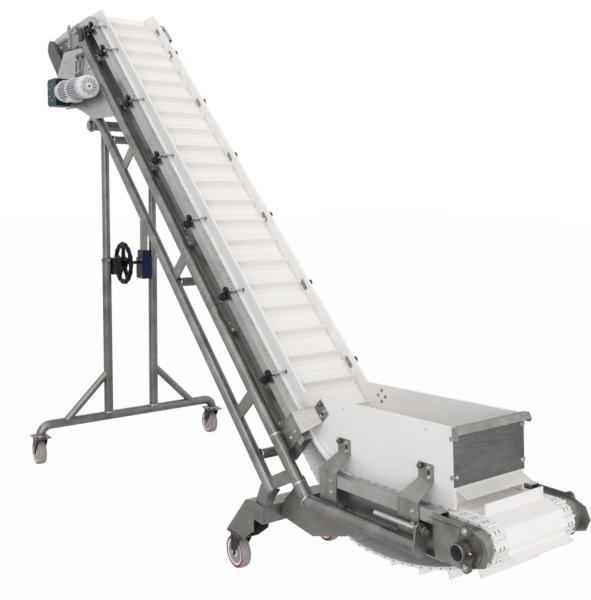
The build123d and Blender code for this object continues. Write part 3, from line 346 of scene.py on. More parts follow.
def spread(name, shape_bm, places, material, body="conveyor", smooth=32.0):
    """Repeat a small shape at (point, axis, run) places, as one plain mesh that rides on one body."""
    shape_object = bpy.data.objects.new(name + "_shape", mesh_of(name + "_shape", shape_bm))
    points = bpy.data.meshes.new(name + "_points")
    points.from_pydata([p for p, axis, run in places], [], [])
    for label, column in (("axis", 1), ("run", 2)):
        values = points.attributes.new(label, "FLOAT_VECTOR", "POINT").data
        for k, row in enumerate(places):
            values[k].vector = row[column]
    holder = bpy.data.objects.new(name + "_points", points)
    scene.collection.objects.link(holder)
    modifier = holder.modifiers.new("set", "NODES")
    modifier.node_group = set_on_points
    modifier[shape_input] = shape_object
    depsgraph = bpy.context.evaluated_depsgraph_get()
    mesh = bpy.data.meshes.new_from_object(holder.evaluated_get(depsgraph), depsgraph=depsgraph)
    bpy.data.objects.remove(holder)
    bpy.data.objects.remove(shape_object)
    return join(name, mesh, material, body, smooth)


def bolts(name, places, radius, height, washer=1.45, finish=bright_steel, body="conveyor"):
    """Hexagon heads at (point, axis, run) places, each on a washer so many times its radius."""
    bm = bmesh.new()
    rim = radius * washer
    turn(bm, Matrix(), ((rim, -0.001), (rim, 0.0012), (rim * 0.94, 0.0018)), 16)
    turn(bm, Matrix(), ((radius, 0.0), (radius, height * 0.82), (radius * 0.82, height)), 6)
    spread(name, bm, places, finish, body)


weld_rings = bmesh.new()
half_turn = (up + -out).normalized()
for sign in (-1, 1):
    turn(weld_rings, at(spot(incline, 0, 0, sign * pipe_side), half_turn),
         mirrored((0.0275, -0.0035), (0.0292, -0.0012)), 32)
    for along in (0.3, 0.075):
        turn(weld_rings, at(spot(incline, along, 0, sign * pipe_side), up),
             mirrored((0.0257, -0.004), (0.0268, -0.0015)), 32)
    for along in (0.33, 1.32, 2.4):
        place = at(spot(incline, along, -truss_depth, sign * (pipe_side - pipe_radius)), far_side * sign)
        turn(weld_rings, place, ((0.0245, -0.002), (0.0255, 0.0), (0.024, 0.0035)))
piece("tube_welds", weld_rings, bright_steel)

# Side channels: folded stainless sheet, one beside each edge of the belt, hung on lugs from the pipes.
# Painted shade darkens the web, where it lies in the shade between lip and pipe; the flange keeps the plain satin.
channel_satin = steel("channel_satin", (0.53, 0.52, 0.505), (0.36, 0.35, 0.34), (0, 41, 0), 0.34, clouds=6.0)
nodes = channel_satin.node_tree
base = nodes.nodes["Principled BSDF"].inputs["Base Color"]
split = put(nodes, "ShaderNodeSeparateXYZ", inputs={0: put(nodes, "ShaderNodeTexCoord").outputs["Object"]})
web, fold = 0.2031, 0.205
on_flange = ramp(nodes, calc(nodes, "ABSOLUTE", split.outputs["Y"]), web, fold)
satin = base.links[0].from_socket
# Painted shade: the satin is multiplied darker on the web, inside the fold.
painted_web_shade = blend(nodes, 1.0, satin, (0.62, 0.61, 0.6, 1), "MULTIPLY")
nodes.links.new(blend(nodes, on_flange, painted_web_shade, satin), base)
dress(channel_satin, "side_channel_near", "side_channel_far")
lug_rows = ((incline, (0.33, 0.87, 1.41, 1.95, 2.49, 2.9)), (infeed, (0.18, 0.44)))
bolts("lug_bolts", [
    (spot(run, along + step, 0.005, sign * 0.2195), run[2], run[1]) for sign in (-1, 1)
    for run, places in lug_rows for along in places for step in (-0.018, 0.018)], 0.0055, 0.005)
# Thin strips of brighter steel along the flange and its fold: painted highlight lines.
flange_edge, flange_top = bmesh.new(), 0.1302
for run, start, stop in ((incline, 0.19, incline_length), (infeed, 0.096, 0.69)):
    for y, wide in ((-0.2035, 0.004), (-0.212, 0.0022), (-0.22, 0.0022)):
        middle = (spot(run, start, flange_top, y) + spot(run, stop, flange_top, y)) / 2
        block(flange_edge, at(middle, run[2], run[1]), (stop - start, wide, 0.0016), 0.0004)
piece("flange_edge", flange_edge, bright_steel)

# Shafts and bearings: ground shafts with sprockets, in two-bolt steel housings on the end plates.
# The head shaft's near end runs into the chain guard, so that housing has no cap.
shaft_ground = steel("shaft_ground", (0.62, 0.62, 0.62), (0.45, 0.45, 0.45), (0, 0, 90), 0.22, 1.0)
housing_satin = steel("housing_satin", (0.21, 0.2, 0.19), (0.1, 0.095, 0.09), (0, 0, 90), 0.3, clouds=25.0)
head_satin = steel("head_satin", (0.58, 0.565, 0.55), (0.4, 0.39, 0.375), (0, 60, 0), clouds=7.0)
cap_dark = steel("cap_dark", (0.06, 0.06, 0.075), (0.016, 0.016, 0.024), (0, 0, 0), 0.22, 1.0, 60.0)
dress(shaft_ground, "tail_shaft", "head_shaft")
dress(housing_satin, "tail_bearings", "head_bearings")
dress(plate_satin, "tail_plates")
dress(head_satin, "head_plates")
tail_along, head_along, shaft_rise = 0.808, 0.5, 0.052
tail_centre = spot(infeed, tail_along, shaft_rise)
head_centre = spot(head, head_along, shaft_rise)
housing_bolts, nipples = [], bmesh.new()
for centre, ear in ((tail_centre, infeed[2]), (head_centre, back)):
    for sign in (-1, 1):
        side_way = far_side * sign
        for step in (-0.057, 0.057):
            housing_bolts.append((centre + ear * step + side_way * 0.256, side_way, ear))
        upward = ear.cross(side_way)
        turn(nipples, at(centre + side_way * 0.266 + upward * 0.0268, upward),
             ((0.004, -0.003), (0.004, 0.003), (0.0022, 0.005), (0.003, 0.007), (0.0015, 0.009)), 12)
bolts("housing_bolts", housing_bolts, 0.0085, 0.008)
piece("grease_nipples", nipples, bright_steel)
caps, cap_rims = bmesh.new(), bmesh.new()
for centre, sign in ((tail_centre, -1), (tail_centre, 1), (head_centre, 1)):
    place = at(centre + Vector((0, sign * 0.2915, 0)), far_side * sign)
    turn(caps, place, ((0.024, -0.002), (0.024, 0.0016), (0.02, 0.003), (0.012, 0.0042), (0.004, 0.0046)), 32)
    turn(cap_rims, place, ((0.0242, -0.002), (0.0266, -0.002), (0.0262, 0.0018), (0.025, 0.0026),
                           (0.0242, 0.002)), 32, ring=True)
piece("housing_caps", caps, cap_dark)
piece("housing_cap_rims", cap_rims, plate_satin)

# Tail shoes: narrow sheets rolled round the tail sprockets, which close the gap between belt edge and
# tail plate. Cut from the same sheet as the plates and tacked on.
shoes = bmesh.new()
shoe_start, shoe_outer, shoe_inner = 0.64, 0.0568, 0.055
rolled = [(shoe_start, shaft_rise + shoe_outer), (tail_along, shaft_rise + shoe_outer)]
for radius, degrees in ((shoe_outer, range(12, 181, 12)), (shoe_inner, range(180, 11, -12))):
    for a in map(math.radians, degrees):
        rolled.append((tail_along + radius * math.sin(a), shaft_rise + radius * math.cos(a)))
rolled += [(tail_along, shaft_rise + shoe_inner), (shoe_start, shaft_rise + shoe_inner)]
for sign in (-1, 1):
    plate(shoes, infeed, rolled, sign * 0.1945, sign * 0.244)
piece("tail_shoes", shoes, plate_satin)


def clouded_group(name, main, second, amount, grain, details, edges, uneven, lowered):
    """A finish of one colour under clouds of a second one, with a grain and an uneven gloss.
    details: the clouds' detail and roughness and the grain's detail; edges: where clouds begin and fill."""
    group, given = finish_group(name, {
        main: (0.8, 0.8, 0.8, 1), second: (0.6, 0.6, 0.6, 1), amount: 0.3, "Clouds": 5.0, "Grain": grain,
        "Finish": 0.4})
    clouds = noise(group, given["Vector"], given["Clouds"], *details[:2])
    fine = noise(group, given["Vector"], given["Grain"], details[2])
    share = calc(group, "MULTIPLY", ramp(group, clouds, *edges), given[amount])
    rough = calc(group, "MULTIPLY_ADD", clouds, uneven, given["Finish"])
    put(group, "NodeGroupOutput", inputs={
        "Color": blend(group, share, given[main], given[second]),
        "Roughness": calc(group, "SUBTRACT", rough, lowered), "Height": fine})
    return group


moulded_plastic = clouded_group(
    "moulded_plastic", "Colour", "Soiled", "Soil", 900.0, (5.0, 0.65, 2.0), (0.42, 0.72), 0.24, 0.12)


def plastic(name, colour, soiled, soil=0.3, clouds=5.0, grain=900.0, finish=0.42, bump=0.0001, gloss=0.5):
    """Moulded plastic with soil in soft clouds."""
    values = {"Colour": (*colour, 1), "Soiled": (*soiled, 1), "Soil": soil, "Clouds": clouds, "Grain": grain,
              "Finish": finish}
    return finished(name, moulded_plastic, values, (0.4, bump), {"Specular IOR Level": gloss})


# Belt: white modular links on hinge pins, with raised centre pads and a flight on every third link.
# Moulded acetal; the hinge barrels show on both margins, with painted shadow in the gaps between them.
belt_white = plastic("belt_white", (0.895, 0.88, 0.87), (0.83, 0.805, 0.785), 0.25, 4.0)
# Dark plastic for the gaps between the hinge barrels and for the pin ends: painted shadow.
painted_gap_shadow = plastic("painted_gap_shadow", (0.27, 0.26, 0.25), (0.17, 0.165, 0.16), 0.4, 30.0, finish=0.6)
belt_seam = plastic("belt_seam", (0.68, 0.665, 0.65), (0.6, 0.585, 0.57), 0.3, 12.0, finish=0.5)
strip_white = plastic("strip_white", (0.78, 0.78, 0.76), (0.66, 0.64, 0.6), 0.4, 8.0)
dress(belt_white, "belt")
dress(strip_white, "wear_strips", "return_rails")
belt_pitch, teeth, links_a_side, links_a_flight = 0.046, 8, 95, 3
pitch_radius = belt_pitch / (2 * math.sin(math.pi / teeth))
belt_line = shaft_rise + pitch_radius
return_rise, sag_run, sag_drop = 0.02, 0.58, 0.168
kink_radius, crest_radius, return_radius = 0.4, 0.15, 0.12
half_bend = math.tan((incline_angle + infeed_angle) / 2)


def on_circle(centre, radius, degrees):
    a = math.radians(degrees)
    return centre + Vector((radius * math.cos(a), 0, radius * math.sin(a)))


def swept(centre, start, stop, steps=40):
    """Points from one place to another round a centre, the short way."""
    first, last = start - centre, stop - centre
    whole = first.angle(last)
    side_way = (last - first * last.dot(first) / first.length_squared).normalized() * first.length
    return [centre + first * math.cos(whole * k / steps) + side_way * math.sin(whole * k / steps)
            for k in range(steps + 1)]


def rounded(corner, before, after, radius):
    """Points round a corner between two directions of travel."""
    angle = before.angle(after)
    centre = corner + (after - before).normalized() * (radius / math.cos(angle / 2))
    reach = radius * math.tan(angle / 2)
    return swept(centre, corner - before * reach, corner + after * reach)


down = -up
tail_links = [on_circle(tail_centre, pitch_radius, 95 - 45 * k) for k in range(5)]
head_links = [on_circle(head_centre, pitch_radius, 95 + 45 * k) for k in range(5)]
kink_bend = rounded(spot(incline, belt_line * half_bend, belt_line), -out, up, kink_radius)
crest_bend = rounded(spot(incline, incline_length + belt_line * half_bend, belt_line), up, back, crest_radius)
line = spot(incline, 0, return_rise)
gap = line - head_links[4]
along_head = (gap.x * down.z - gap.z * down.x) / (-back.x * down.z + back.z * down.x)
return_bend = rounded(head_links[4] - back * along_head, -back, down, return_radius)
lowest = tail_links[4] + Vector((-sag_run, 0, -sag_drop))
sag_radius = (sag_run ** 2 + sag_drop ** 2) / (2 * sag_drop)
sag = swept(lowest + Vector((0, 0, sag_radius)), lowest, tail_links[4])
foot = line + up * ((lowest.z - line.z) / up.z)
turn_bend = rounded(foot, down, lengthwise, (lowest.x - foot.x) / math.tan(incline_angle / 2))
carry_path = [tail_links[0]] + kink_bend + crest_bend + [head_links[0]]
return_path = [head_links[4]] + return_bend + turn_bend + sag[1:]


def paced(points, count, shift):
    """Places at even steps along a path: point, outward direction, direction of travel."""
    lengths = [(b - a).length for a, b in zip(points, points[1:])]
    whole, places, k, passed = sum(lengths), [], 0, 0.0
    for n in range(count):
        wanted = whole * (n + shift) / count
        while passed + lengths[k] < wanted and k < len(lengths) - 1:
            passed += lengths[k]
            k += 1
        way = (points[k + 1] - points[k]).normalized()
        places.append((points[k] + way * (wanted - passed), Vector((way.z, 0, -way.x)), way))
    return places


def corners_of(points, centre):
    """Places on the corners of a sprocket."""
    outward = [(point - centre).normalized() for point in points]
    return [(point, away, Vector((-away.z, 0, away.x))) for point, away in zip(points, outward)]


straight_hinges = paced(carry_path, links_a_side, 0.0)[1:] + paced(return_path, links_a_side, 0.0)[1:]
hinges = straight_hinges + corners_of(tail_links, tail_centre) + corners_of(head_links, head_centre)
links = (paced(carry_path, links_a_side, 0.5) + paced(head_links, 4, 0.5)
         + paced(return_path, links_a_side, 0.5) + paced(tail_links[::-1], 4, 0.5))
# The painted gap shadow is laid only on the infeed and the return run.
in_the_open = [h for h in hinges if (h[0] - kink).dot(up) < 0.05 or (h[0] - kink).dot(incline[2]) < 0.1]
barrel, gap_shadows, seam, fillets = (bmesh.new() for _ in range(4))
for sign in (-1, 1):
    for y in (0.1475, 0.1645, 0.1815):
        turn(barrel, at(far_side * (sign * y), far_side, lengthwise), mirrored((0.0068, -0.0062)), 8)
    for x, z, wide in ((0.023, 0.0052, 0.007), (0.0115, -0.0054, 0.0065), (0.0345, -0.0054, 0.0065)):
        block(barrel, Matrix.Translation((x, sign * 0.1645, z)), (wide, 0.046, 0.003))
    # Dark blocks between the barrels and dark pin ends: painted shadow in the gaps.
    for y in (0.156, 0.173):
        block(gap_shadows, Matrix.Translation((0, sign * y, 0.005)), (0.0105, 0.0045, 0.0022))
    turn(gap_shadows, at(far_side * (sign * 0.19), far_side * sign), ((0.0034, -0.001), (0.0034, 0.0006)), 8)
    corner = ((0.0028, 0.0105), (0.008, 0.0105), (0.0044, 0.013), (0.0028, 0.0175))
    slab(fillets, [(sign * x, z) for x, z in corner], -0.1385, 0.1385)
block(seam, Matrix.Translation((0, 0, 0.0108)), (0.0011, 0.277, 0.0008))
spread("hinge_barrels", barrel, hinges, belt_white)
spread("hinge_gaps", gap_shadows, in_the_open, painted_gap_shadow)
spread("pad_seams", seam, straight_hinges, belt_seam)
spread("flight_fillets", fillets, links[::links_a_flight], belt_white, smooth=50)

# Guard walls: white plastic boards on edge beside the belt, held by clamps on the channel flange.
# A steel slot plate on the inside of each wall takes the clamp's rod.
wall_white = plastic("wall_white", (0.885, 0.875, 0.865), (0.8, 0.785, 0.77), 0.3, 3.0, 700.0, 0.34)
knob_black = plastic("knob_black", (0.008, 0.008, 0.009), (0.035, 0.035, 0.035), 0.4, 40.0, 900.0, 0.4,
                     gloss=0.22)
slot_plate = steel("slot_plate", (0.46, 0.45, 0.43), (0.27, 0.26, 0.25), (0, 41, 0), clouds=40.0)
dress(wall_white, "guard_wall_near", "guard_wall_far")
slot_turns = [2 * math.pi * k / 16 for k in range(16)]
slot_outline = [(math.copysign(0.018, math.cos(a)) + 0.012 * math.cos(a), 0.012 * math.sin(a))
                for a in slot_turns]
foot_outline = ((-0.018, 0.1302), (0.018, 0.1302), (0.009, 0.1465), (-0.009, 0.1465))
clamp_rise, clamp_y = 0.137, -0.258
slot_plates, knobs, rods, dots = bmesh.new(), bmesh.new(), bmesh.new(), []
# Each turned clamp piece: mesh, rise, across, axis, profile, segments, and lobes with their depth
clamp_turns = (
    (rods, clamp_rise, -0.17, near_side, ((0.005, 0.0), (0.005, 0.088), (0.0035, 0.09)), 12),
    (rods, 0.07, clamp_y, incline[2], ((0.0035, 0.0), (0.004, 0.002), (0.004, 0.0705), (0.003, 0.072)), 10),
    (rods, 0.074, clamp_y, incline[2], ((0.0075, 0.0), (0.0075, 0.0065)), 6),
    (rods, 0.127, clamp_y, incline[2], ((0.0075, 0.0), (0.0075, 0.0065)), 6),
    (knobs, 0.087, clamp_y, incline[2],
     ((0.009, 0.0), (0.02, 0.003), (0.0205, 0.017), (0.015, 0.024), (0.009, 0.033)), 36, 6, 0.16),
    (knobs, clamp_rise, -0.247, near_side,
     ((0.01, 0.0), (0.014, 0.004), (0.014, 0.016), (0.009, 0.02)), 24, 6, 0.14),
    (knobs, 0.152, 0.1695, far_side, ((0.01, 0.0), (0.0165, 0.003), (0.017, 0.018), (0.011, 0.0255)), 36, 6, 0.16))
for along in [0.507 + 0.457 * k for k in range(6)] + [3.018]:
    for sign in (-1, 1):
        plate(slot_plates, incline, slot_outline, sign * 0.1576, sign * 0.1558, (along, 0.142))
    plate(rods, incline, foot_outline, -0.227, -0.2225, (along, 0.0))
    block(knobs, at(spot(incline, along + 0.004, clamp_rise, clamp_y), near_side, up), (0.026, 0.02, 0.02), 0.003)
    for bm, rise, y, axis, *turned in clamp_turns:
        turn(bm, at(spot(incline, along, rise, y), axis), *turned)
    dots.append((spot(incline, along, clamp_rise, -0.1697), near_side, up))
piece("slot_plates", slot_plates, slot_plate)
clamp_knobs = piece("clamp_knobs", knobs, knob_black)
piece("clamp_rods", rods, bright_steel)
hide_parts("guard_clamps")
bolts("clamp_dots", dots, 0.0052, 0.004, 1.7, housing_satin)

# Hopper: white plastic side boards, a brushed steel end plate and bent steel straps with slots.
# The end plate has a lip folded out and down; clips hook it on the boards.
end_satin = steel("end_satin", (0.27, 0.268, 0.265), (0.095, 0.094, 0.092), (0, 0, 90), 0.3, clouds=2.6)
strap_satin = steel("strap_satin", (0.4, 0.39, 0.375), (0.23, 0.22, 0.21), (0, 90, 0), 0.33, clouds=16.0)
flap_clear = plastic("flap_clear", (0.8, 0.79, 0.77), (0.7, 0.68, 0.66), 0.3, 6.0, finish=0.25)
dress(wall_white, "hopper_wall_near", "hopper_wall_far")
dress(end_satin, "hopper_end_plate")
dress(strap_satin, "hopper_straps")
dress(flap_clear, "hopper_flap")
hopper_end, hopper_top, lip_half = 0.684, 0.389, 0.1745
lip = bmesh.new()
plate(lip, infeed,
      ((0.003, 0.003), (0.02, 0.003), (0.033, -0.018), (0.031, -0.019), (0.0188, 0.0006), (0.003, 0.0006)),
      -lip_half, lip_half, (hopper_end, hopper_top))
for sign in (-1, 1):
    plate(lip, infeed, ((0.002, 0.003), (0.022, 0.003), (0.033, -0.018), (0.026, -0.03), (0.004, -0.03)),
          sign * lip_half, sign * 0.1765, (hopper_end, hopper_top))
piece("end_plate_lip", lip, strap_satin)
clips, clip_bolts = bmesh.new(), []
for sign in (-1, 1):
    for rise in (0.352, 0.226):
        block(clips, at(spot(infeed, hopper_end - 0.004, rise, sign * 0.1705), far_side * sign, out),
              (0.018, 0.014, 0.004), 0.0012)
        clip_bolts.append((spot(infeed, hopper_end + 0.0032, rise, sign * 0.158), out, infeed[2]))
piece("end_clips", clips, bright_steel)
bolts("clip_bolts", clip_bolts, 0.006, 0.0055)
strap_bolts, strap_slots, strap_knobs = [], bmesh.new(), bmesh.new()
# Each strap: run, place along it, and the way that its foot is set off
for run, along, way in ((infeed, 0.124, 1), (infeed, 0.56, 1), (incline, 0.25, -1)):
    for sign in (-1, 1):
        side_way = far_side * sign
        slot_along = along + way * 0.014
        for rise in (0.205, 0.237):
            strap_bolts.append((spot(run, slot_along, rise, sign * 0.1735), side_way, run[2]))
        # Thin black plates on the strap face: painted shadow in the slot openings.
        block(strap_slots, at(spot(run, slot_along, 0.221, sign * 0.1736), side_way, run[2]),
              (0.048, 0.0085, 0.0008))
        turn(strap_knobs, at(spot(run, along - way * 0.02, 0.239, sign * 0.1735), side_way),
             ((0.007, 0.0), (0.01, 0.003), (0.01, 0.011), (0.0065, 0.016)), 30, 5, 0.2)
        for rise in (0.062, 0.105):
            strap_bolts.append((spot(run, along + way * 0.005, rise, sign * 0.244), side_way, run[2]))
bolts("strap_bolts", strap_bolts, 0.0058, 0.0055)
piece("strap_slots", strap_slots, knob_black)
piece("strap_knobs", strap_knobs, housing_satin)
bolts("inner_bolts", [(spot(incline, 0.272 + a, 0.213 + b, 0.1575), near_side, up)
    for a in (-0.016, 0.016) for b in (-0.016, 0.016)], 0.0048, 0.003, 1.6, slot_plate)

# Take-ups: threaded rods over the infeed pipes that push the tail bearings out to tension the belt.
# Satin rod and teardrop plates on the pipe's end, a bright cut thread and darker nuts.
dress(plate_satin, "takeups")
takeup_rise, thread_pitch = 0.062, 0.003
nuts, thread = bmesh.new(), bmesh.new()
threads = [(spot(infeed, 0.404 + thread_pitch * k, takeup_rise, sign * pipe_side), out, infeed[2])
           for sign in (-1, 1) for k in range(70)]
for sign in (-1, 1):
    for along in (0.612, 0.6235, 0.643):
        turn(nuts, at(spot(infeed, along, takeup_rise, sign * pipe_side), out),
             mirrored((0.015, -0.005), (0.0158, -0.004)), 6)
turn(thread, Matrix(), ((0.0085, -0.0011), (0.0098, 0.0), (0.0085, 0.0011)), 14)
spread("takeup_threads", thread, threads, bright_steel, smooth=20)
piece("takeup_nuts", nuts, housing_satin)

# Belly pan, front axle beam and caster arms: folded and welded stainless under the bend.
# The pan is sheet; the beam is box section with a saddle under each lower pipe.
pan_satin = steel("pan_satin", (0.31, 0.3, 0.285), (0.18, 0.17, 0.16), (0, -20, 0), 0.4, clouds=5.0)
dress(pan_satin, "belly_pan", "caster_arms")
dress(tube_across, "axle_beam")
front_x, front_side = 0.5470124, 0.2486
bolts("arm_bolts", [(Vector((front_x + step, sign * front_side + shift, 0.183)), upright, lengthwise)
    for sign in (-1, 1) for step in (-0.0445, 0.0445) for shift in (-0.03, 0.03)], 0.0062, 0.0055)
bolts("pan_bolts", [(spot(infeed, along, -0.045, sign * 0.2055), far_side * sign, out)
    for sign in (-1, 1) for along in (0.03, 0.11, 0.19)], 0.0048, 0.0042)

# Head end: welded box arms hold the head plates; a bent plate below them carries the drive. A bracket,
# a shroud and a black block are bolted on the near arm, and two screws hang the drive to set the chain,
# which runs to the head shaft inside a flat steel guard.
drive_satin = steel("drive_satin", (0.5, 0.485, 0.475), (0.33, 0.32, 0.31), (0, 60, 0), clouds=7.0)
guard_dark = steel("guard_dark", (0.105, 0.11, 0.1), (0.045, 0.048, 0.044), (0, 60, 0), 0.42, clouds=18.0)
dress(tube_across, "head_arms")
dress(drive_satin, "drive_plate")
dress(guard_dark, "chain_guard")
drive_face, arm_face = -0.2926, -0.2642
head_bolts = [(spot(head, along, 0.03, y), far_side * sign, back)
              for sign, y in ((-1, -0.2668), (1, -arm_face)) for along in (0.25, 0.35)]
head_bolts += [(head[0] + Vector((a, drive_face, b)), near_side, back)
               for a, b in ((-0.23, -0.1), (-0.33, -0.185), (-0.23, -0.35), (-0.075, -0.35))]
head_bolts += [(spot(incline, along, -0.02, drive_face), near_side, up) for along in (2.62, 2.82)]
bolts("head_bolts", head_bolts, 0.0075, 0.0065)
bracket_face = -0.2716
bracket, shroud, black_block = bmesh.new(), bmesh.new(), bmesh.new()
for outline in (((0.186, -0.008), (0.222, -0.008), (0.222, 0.132), (0.186, 0.132)),
                ((0.04, 0.086), (0.186, 0.086), (0.186, 0.108), (0.04, 0.108)),
                ((0.06, 0.06), (0.12, 0.06), (0.112, 0.086), (0.068, 0.086))):
    plate(bracket, head, outline, bracket_face, arm_face)
plate(shroud, head, ((0.226, -0.014), (0.384, -0.014), (0.384, 0.064), (0.226, 0.064)), -0.2668, arm_face)
plate(shroud, head, ((0.06, -0.03), (0.384, -0.03), (0.384, -0.018), (0.06, -0.018)), -0.274, arm_face)
plate(black_block, head, ((-0.02, 0.002), (0.042, 0.002), (0.042, 0.07), (-0.008, 0.07)), -0.2715, -0.2643)
piece("head_bracket", bracket, plate_satin)
piece("arm_shroud", shroud, guard_dark)
piece("head_stop_block", black_block, knob_black)
bolts("bracket_nuts", [(spot(head, a, rise, bracket_face), near_side, back) for a, rise in
    ((0.204, 0.116), (0.204, 0.06), (0.204, 0.008), (0.15, 0.097), (0.09, 0.097), (0.09, 0.072))], 0.007, 0.0065)
chain_screws, screw_nuts = bmesh.new(), []
motor_low, motor_high = (Vector(c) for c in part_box("drive_motor"))
for shift, lean in ((-0.075, -0.012), (-0.015, 0.004)):
    low_end = Vector((motor_high.x - 0.3 + shift, -0.302, motor_high.z + 0.004))
    reach = Vector((lean + 0.03, 0.0, 0.15))
    turn(chain_screws, at(low_end, reach),
         ((0.0048, 0.0), (0.0052, 0.004), (0.0052, reach.length - 0.004), (0.0044, reach.length)), 12)
    for part, size in ((0.84, (0.02, 0.03, 0.012)), (0.14, (0.016, 0.026, 0.012))):
        block(chain_screws, at(low_end + reach * part + far_side * 0.004, near_side, reach), size, 0.002)
    screw_nuts += [(low_end + reach * part, reach.normalized(), near_side) for part in (0.03, 0.25, 0.73, 0.95)]
piece("chain_screws", chain_screws, housing_satin)
bolts("chain_screw_nuts", screw_nuts, 0.0085, 0.006, 1.1)

# Gear reducer and motor: a worm reducer in blue-green enamel and a white finned motor.
# The motor is flange-mounted, with a pressed fan cover and a terminal box under it.
machine_paint = clouded_group(
    "machine_paint", "Paint", "Chipped", "Wear", 240.0, (6.0, 0.7, 1.0), (0.56, 0.7), 0.2, 0.0)


def paint(name, colour, chipped, wear=0.3, clouds=14.0, finish=0.25, gloss=0.5):
    """Enamel that is worn in patches to a second colour."""
    values = {"Paint": (*colour, 1), "Chipped": (*chipped, 1), "Wear": wear, "Clouds": clouds, "Finish": finish}
    return finished(name, machine_paint, values, (0.3, 0.0002), {"Specular IOR Level": gloss})


reducer_enamel = paint("reducer_enamel", (0.001, 0.024, 0.028), (0.008, 0.075, 0.1), 0.6, 34.0, gloss=0.12)
motor_enamel = paint("motor_enamel", (0.66, 0.67, 0.7), (0.45, 0.45, 0.47), 0.4)
# Dark grey paint on the motor body between the fins: painted shade in the fin grooves.
painted_motor_shade = paint("painted_motor_shade", (0.22, 0.22, 0.23), (0.36, 0.36, 0.37), 0.5, 30.0, gloss=0.3)
cover_enamel = paint("cover_enamel", (0.72, 0.72, 0.75), (0.5, 0.5, 0.52), 0.3, finish=0.2)
painted_vent_shadow = plastic("painted_vent_shadow", (0.16, 0.16, 0.17), (0.1, 0.1, 0.1), 0.3, 30.0)
dress(reducer_enamel, "gear_reducer")
reducer_low, reducer_high = (Vector(c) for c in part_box("gear_reducer"))
motor_middle = (motor_low + motor_high) / 2
motor_start = Vector((motor_low.x, motor_middle.y, motor_middle.z))
reducer_middle = Vector(((reducer_low.x + reducer_high.x) / 2, motor_middle.y, motor_middle.z))
reducer_face = Vector((reducer_middle.x, reducer_low.y, reducer_middle.z))
ribs, seals = bmesh.new(), bmesh.new()
for k in range(7):
    for z in (reducer_high.z - 0.004, reducer_low.z + 0.004):
        block(ribs, Matrix.Translation((reducer_middle.x - 0.048 + 0.016 * k, reducer_middle.y, z)),
              (0.004, 0.074, 0.008), 0.001)
turn(ribs, at(reducer_face + far_side * 0.0035, near_side),
     ((0.058, -0.003), (0.058, 0.0015), (0.055, 0.003), (0.036, 0.0033)), 40)
turn(seals, at(reducer_face + far_side * 0.0004, near_side),
     ((0.03, -0.002), (0.03, -0.0002), (0.012, 0.0)), 32)
piece("reducer_ribs", ribs, reducer_enamel)
piece("reducer_seal", seals, knob_black)
bolts("reducer_bolts", [(on_circle(reducer_face + far_side * 0.0008, 0.046, 30 + 60 * k), near_side, lengthwise)
    for k in range(6)], 0.0045, 0.0008, 1.01)
motor, flanges, fin, cover, vent, hub_dot, terminal = (bmesh.new() for _ in range(7))
motor_line = at(motor_start, lengthwise, upright)


def round_motor(along, radius, turns):
    """A point on a ring round the motor's shaft, with the ring's outward direction."""
    radial = Vector((0, math.cos(math.tau * turns), math.sin(math.tau * turns)))
    return motor_start + lengthwise * along + radial * radius, radial


turn(motor, motor_line,
     ((0.048, 0.012), (0.048, 0.054), (0.054, 0.058), (0.054, 0.376), (0.056, 0.38), (0.056, 0.386)), 48)
motor_body = piece("motor_body", motor, painted_motor_shade)
for start, stop, wide in (
        (0.0, 0.012, 0.0555), (0.05, 0.066, 0.064), (0.196, 0.208, 0.0635), (0.352, 0.362, 0.062)):
    turn(flanges, motor_line,
         ((wide * 0.97, start), (wide, start + 0.002), (wide, stop - 0.002), (wide * 0.97, stop)), 48)
piece("motor_flanges", flanges, motor_enamel)
fin_count, bare_below = 30, 0.42
fins = [round_motor(0.212, 0.057, k / fin_count) for k in range(fin_count)
        if abs(math.tau * (k / fin_count - 0.75)) >= bare_below]
block(fin, Matrix(), (0.29, 0.003, 0.009), 0.0008)
spread("motor_fins", fin, [(*place, lengthwise) for place in fins], motor_enamel)
turn(cover, motor_line,
     ((0.06, 0.378), (0.0618, 0.38), (0.0618, 0.402), (0.0606, 0.407), (0.057, 0.4112), (0.054, 0.4128),
      (0.018, 0.4128), (0.016, 0.4136), (0.01, 0.4138)), 56)
piece("fan_cover", cover, cover_enamel)
# Dark blocks on the fan cover's face: painted shadow in the vent slots.
vents = [round_motor(0.4126, 0.032 if k % 2 else 0.037, (k + 0.5) / 20) for k in range(20)]
block(vent, Matrix(), (0.024, 0.0046, 0.0016), 0.0004)
spread("fan_vents", vent, [(p, lengthwise, radial) for p, radial in vents], painted_vent_shadow)
turn(hub_dot, motor_line, ((0.006, 0.413), (0.006, 0.4139), (0.003, 0.41395)), 20)
piece("fan_dot", hub_dot, knob_black)
block(terminal, Matrix.Translation(motor_start + Vector((0.17, 0, -0.052))), (0.088, 0.07, 0.03), 0.004)
piece("terminal_box", terminal, motor_enamel)
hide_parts("drive_motor")
bolts("motor_bolts", [(round_motor(0.0575, 0.0575, (k + 0.5) / 4)[0], -lengthwise, upright)
    for k in range(4)], 0.005, 0.0048)

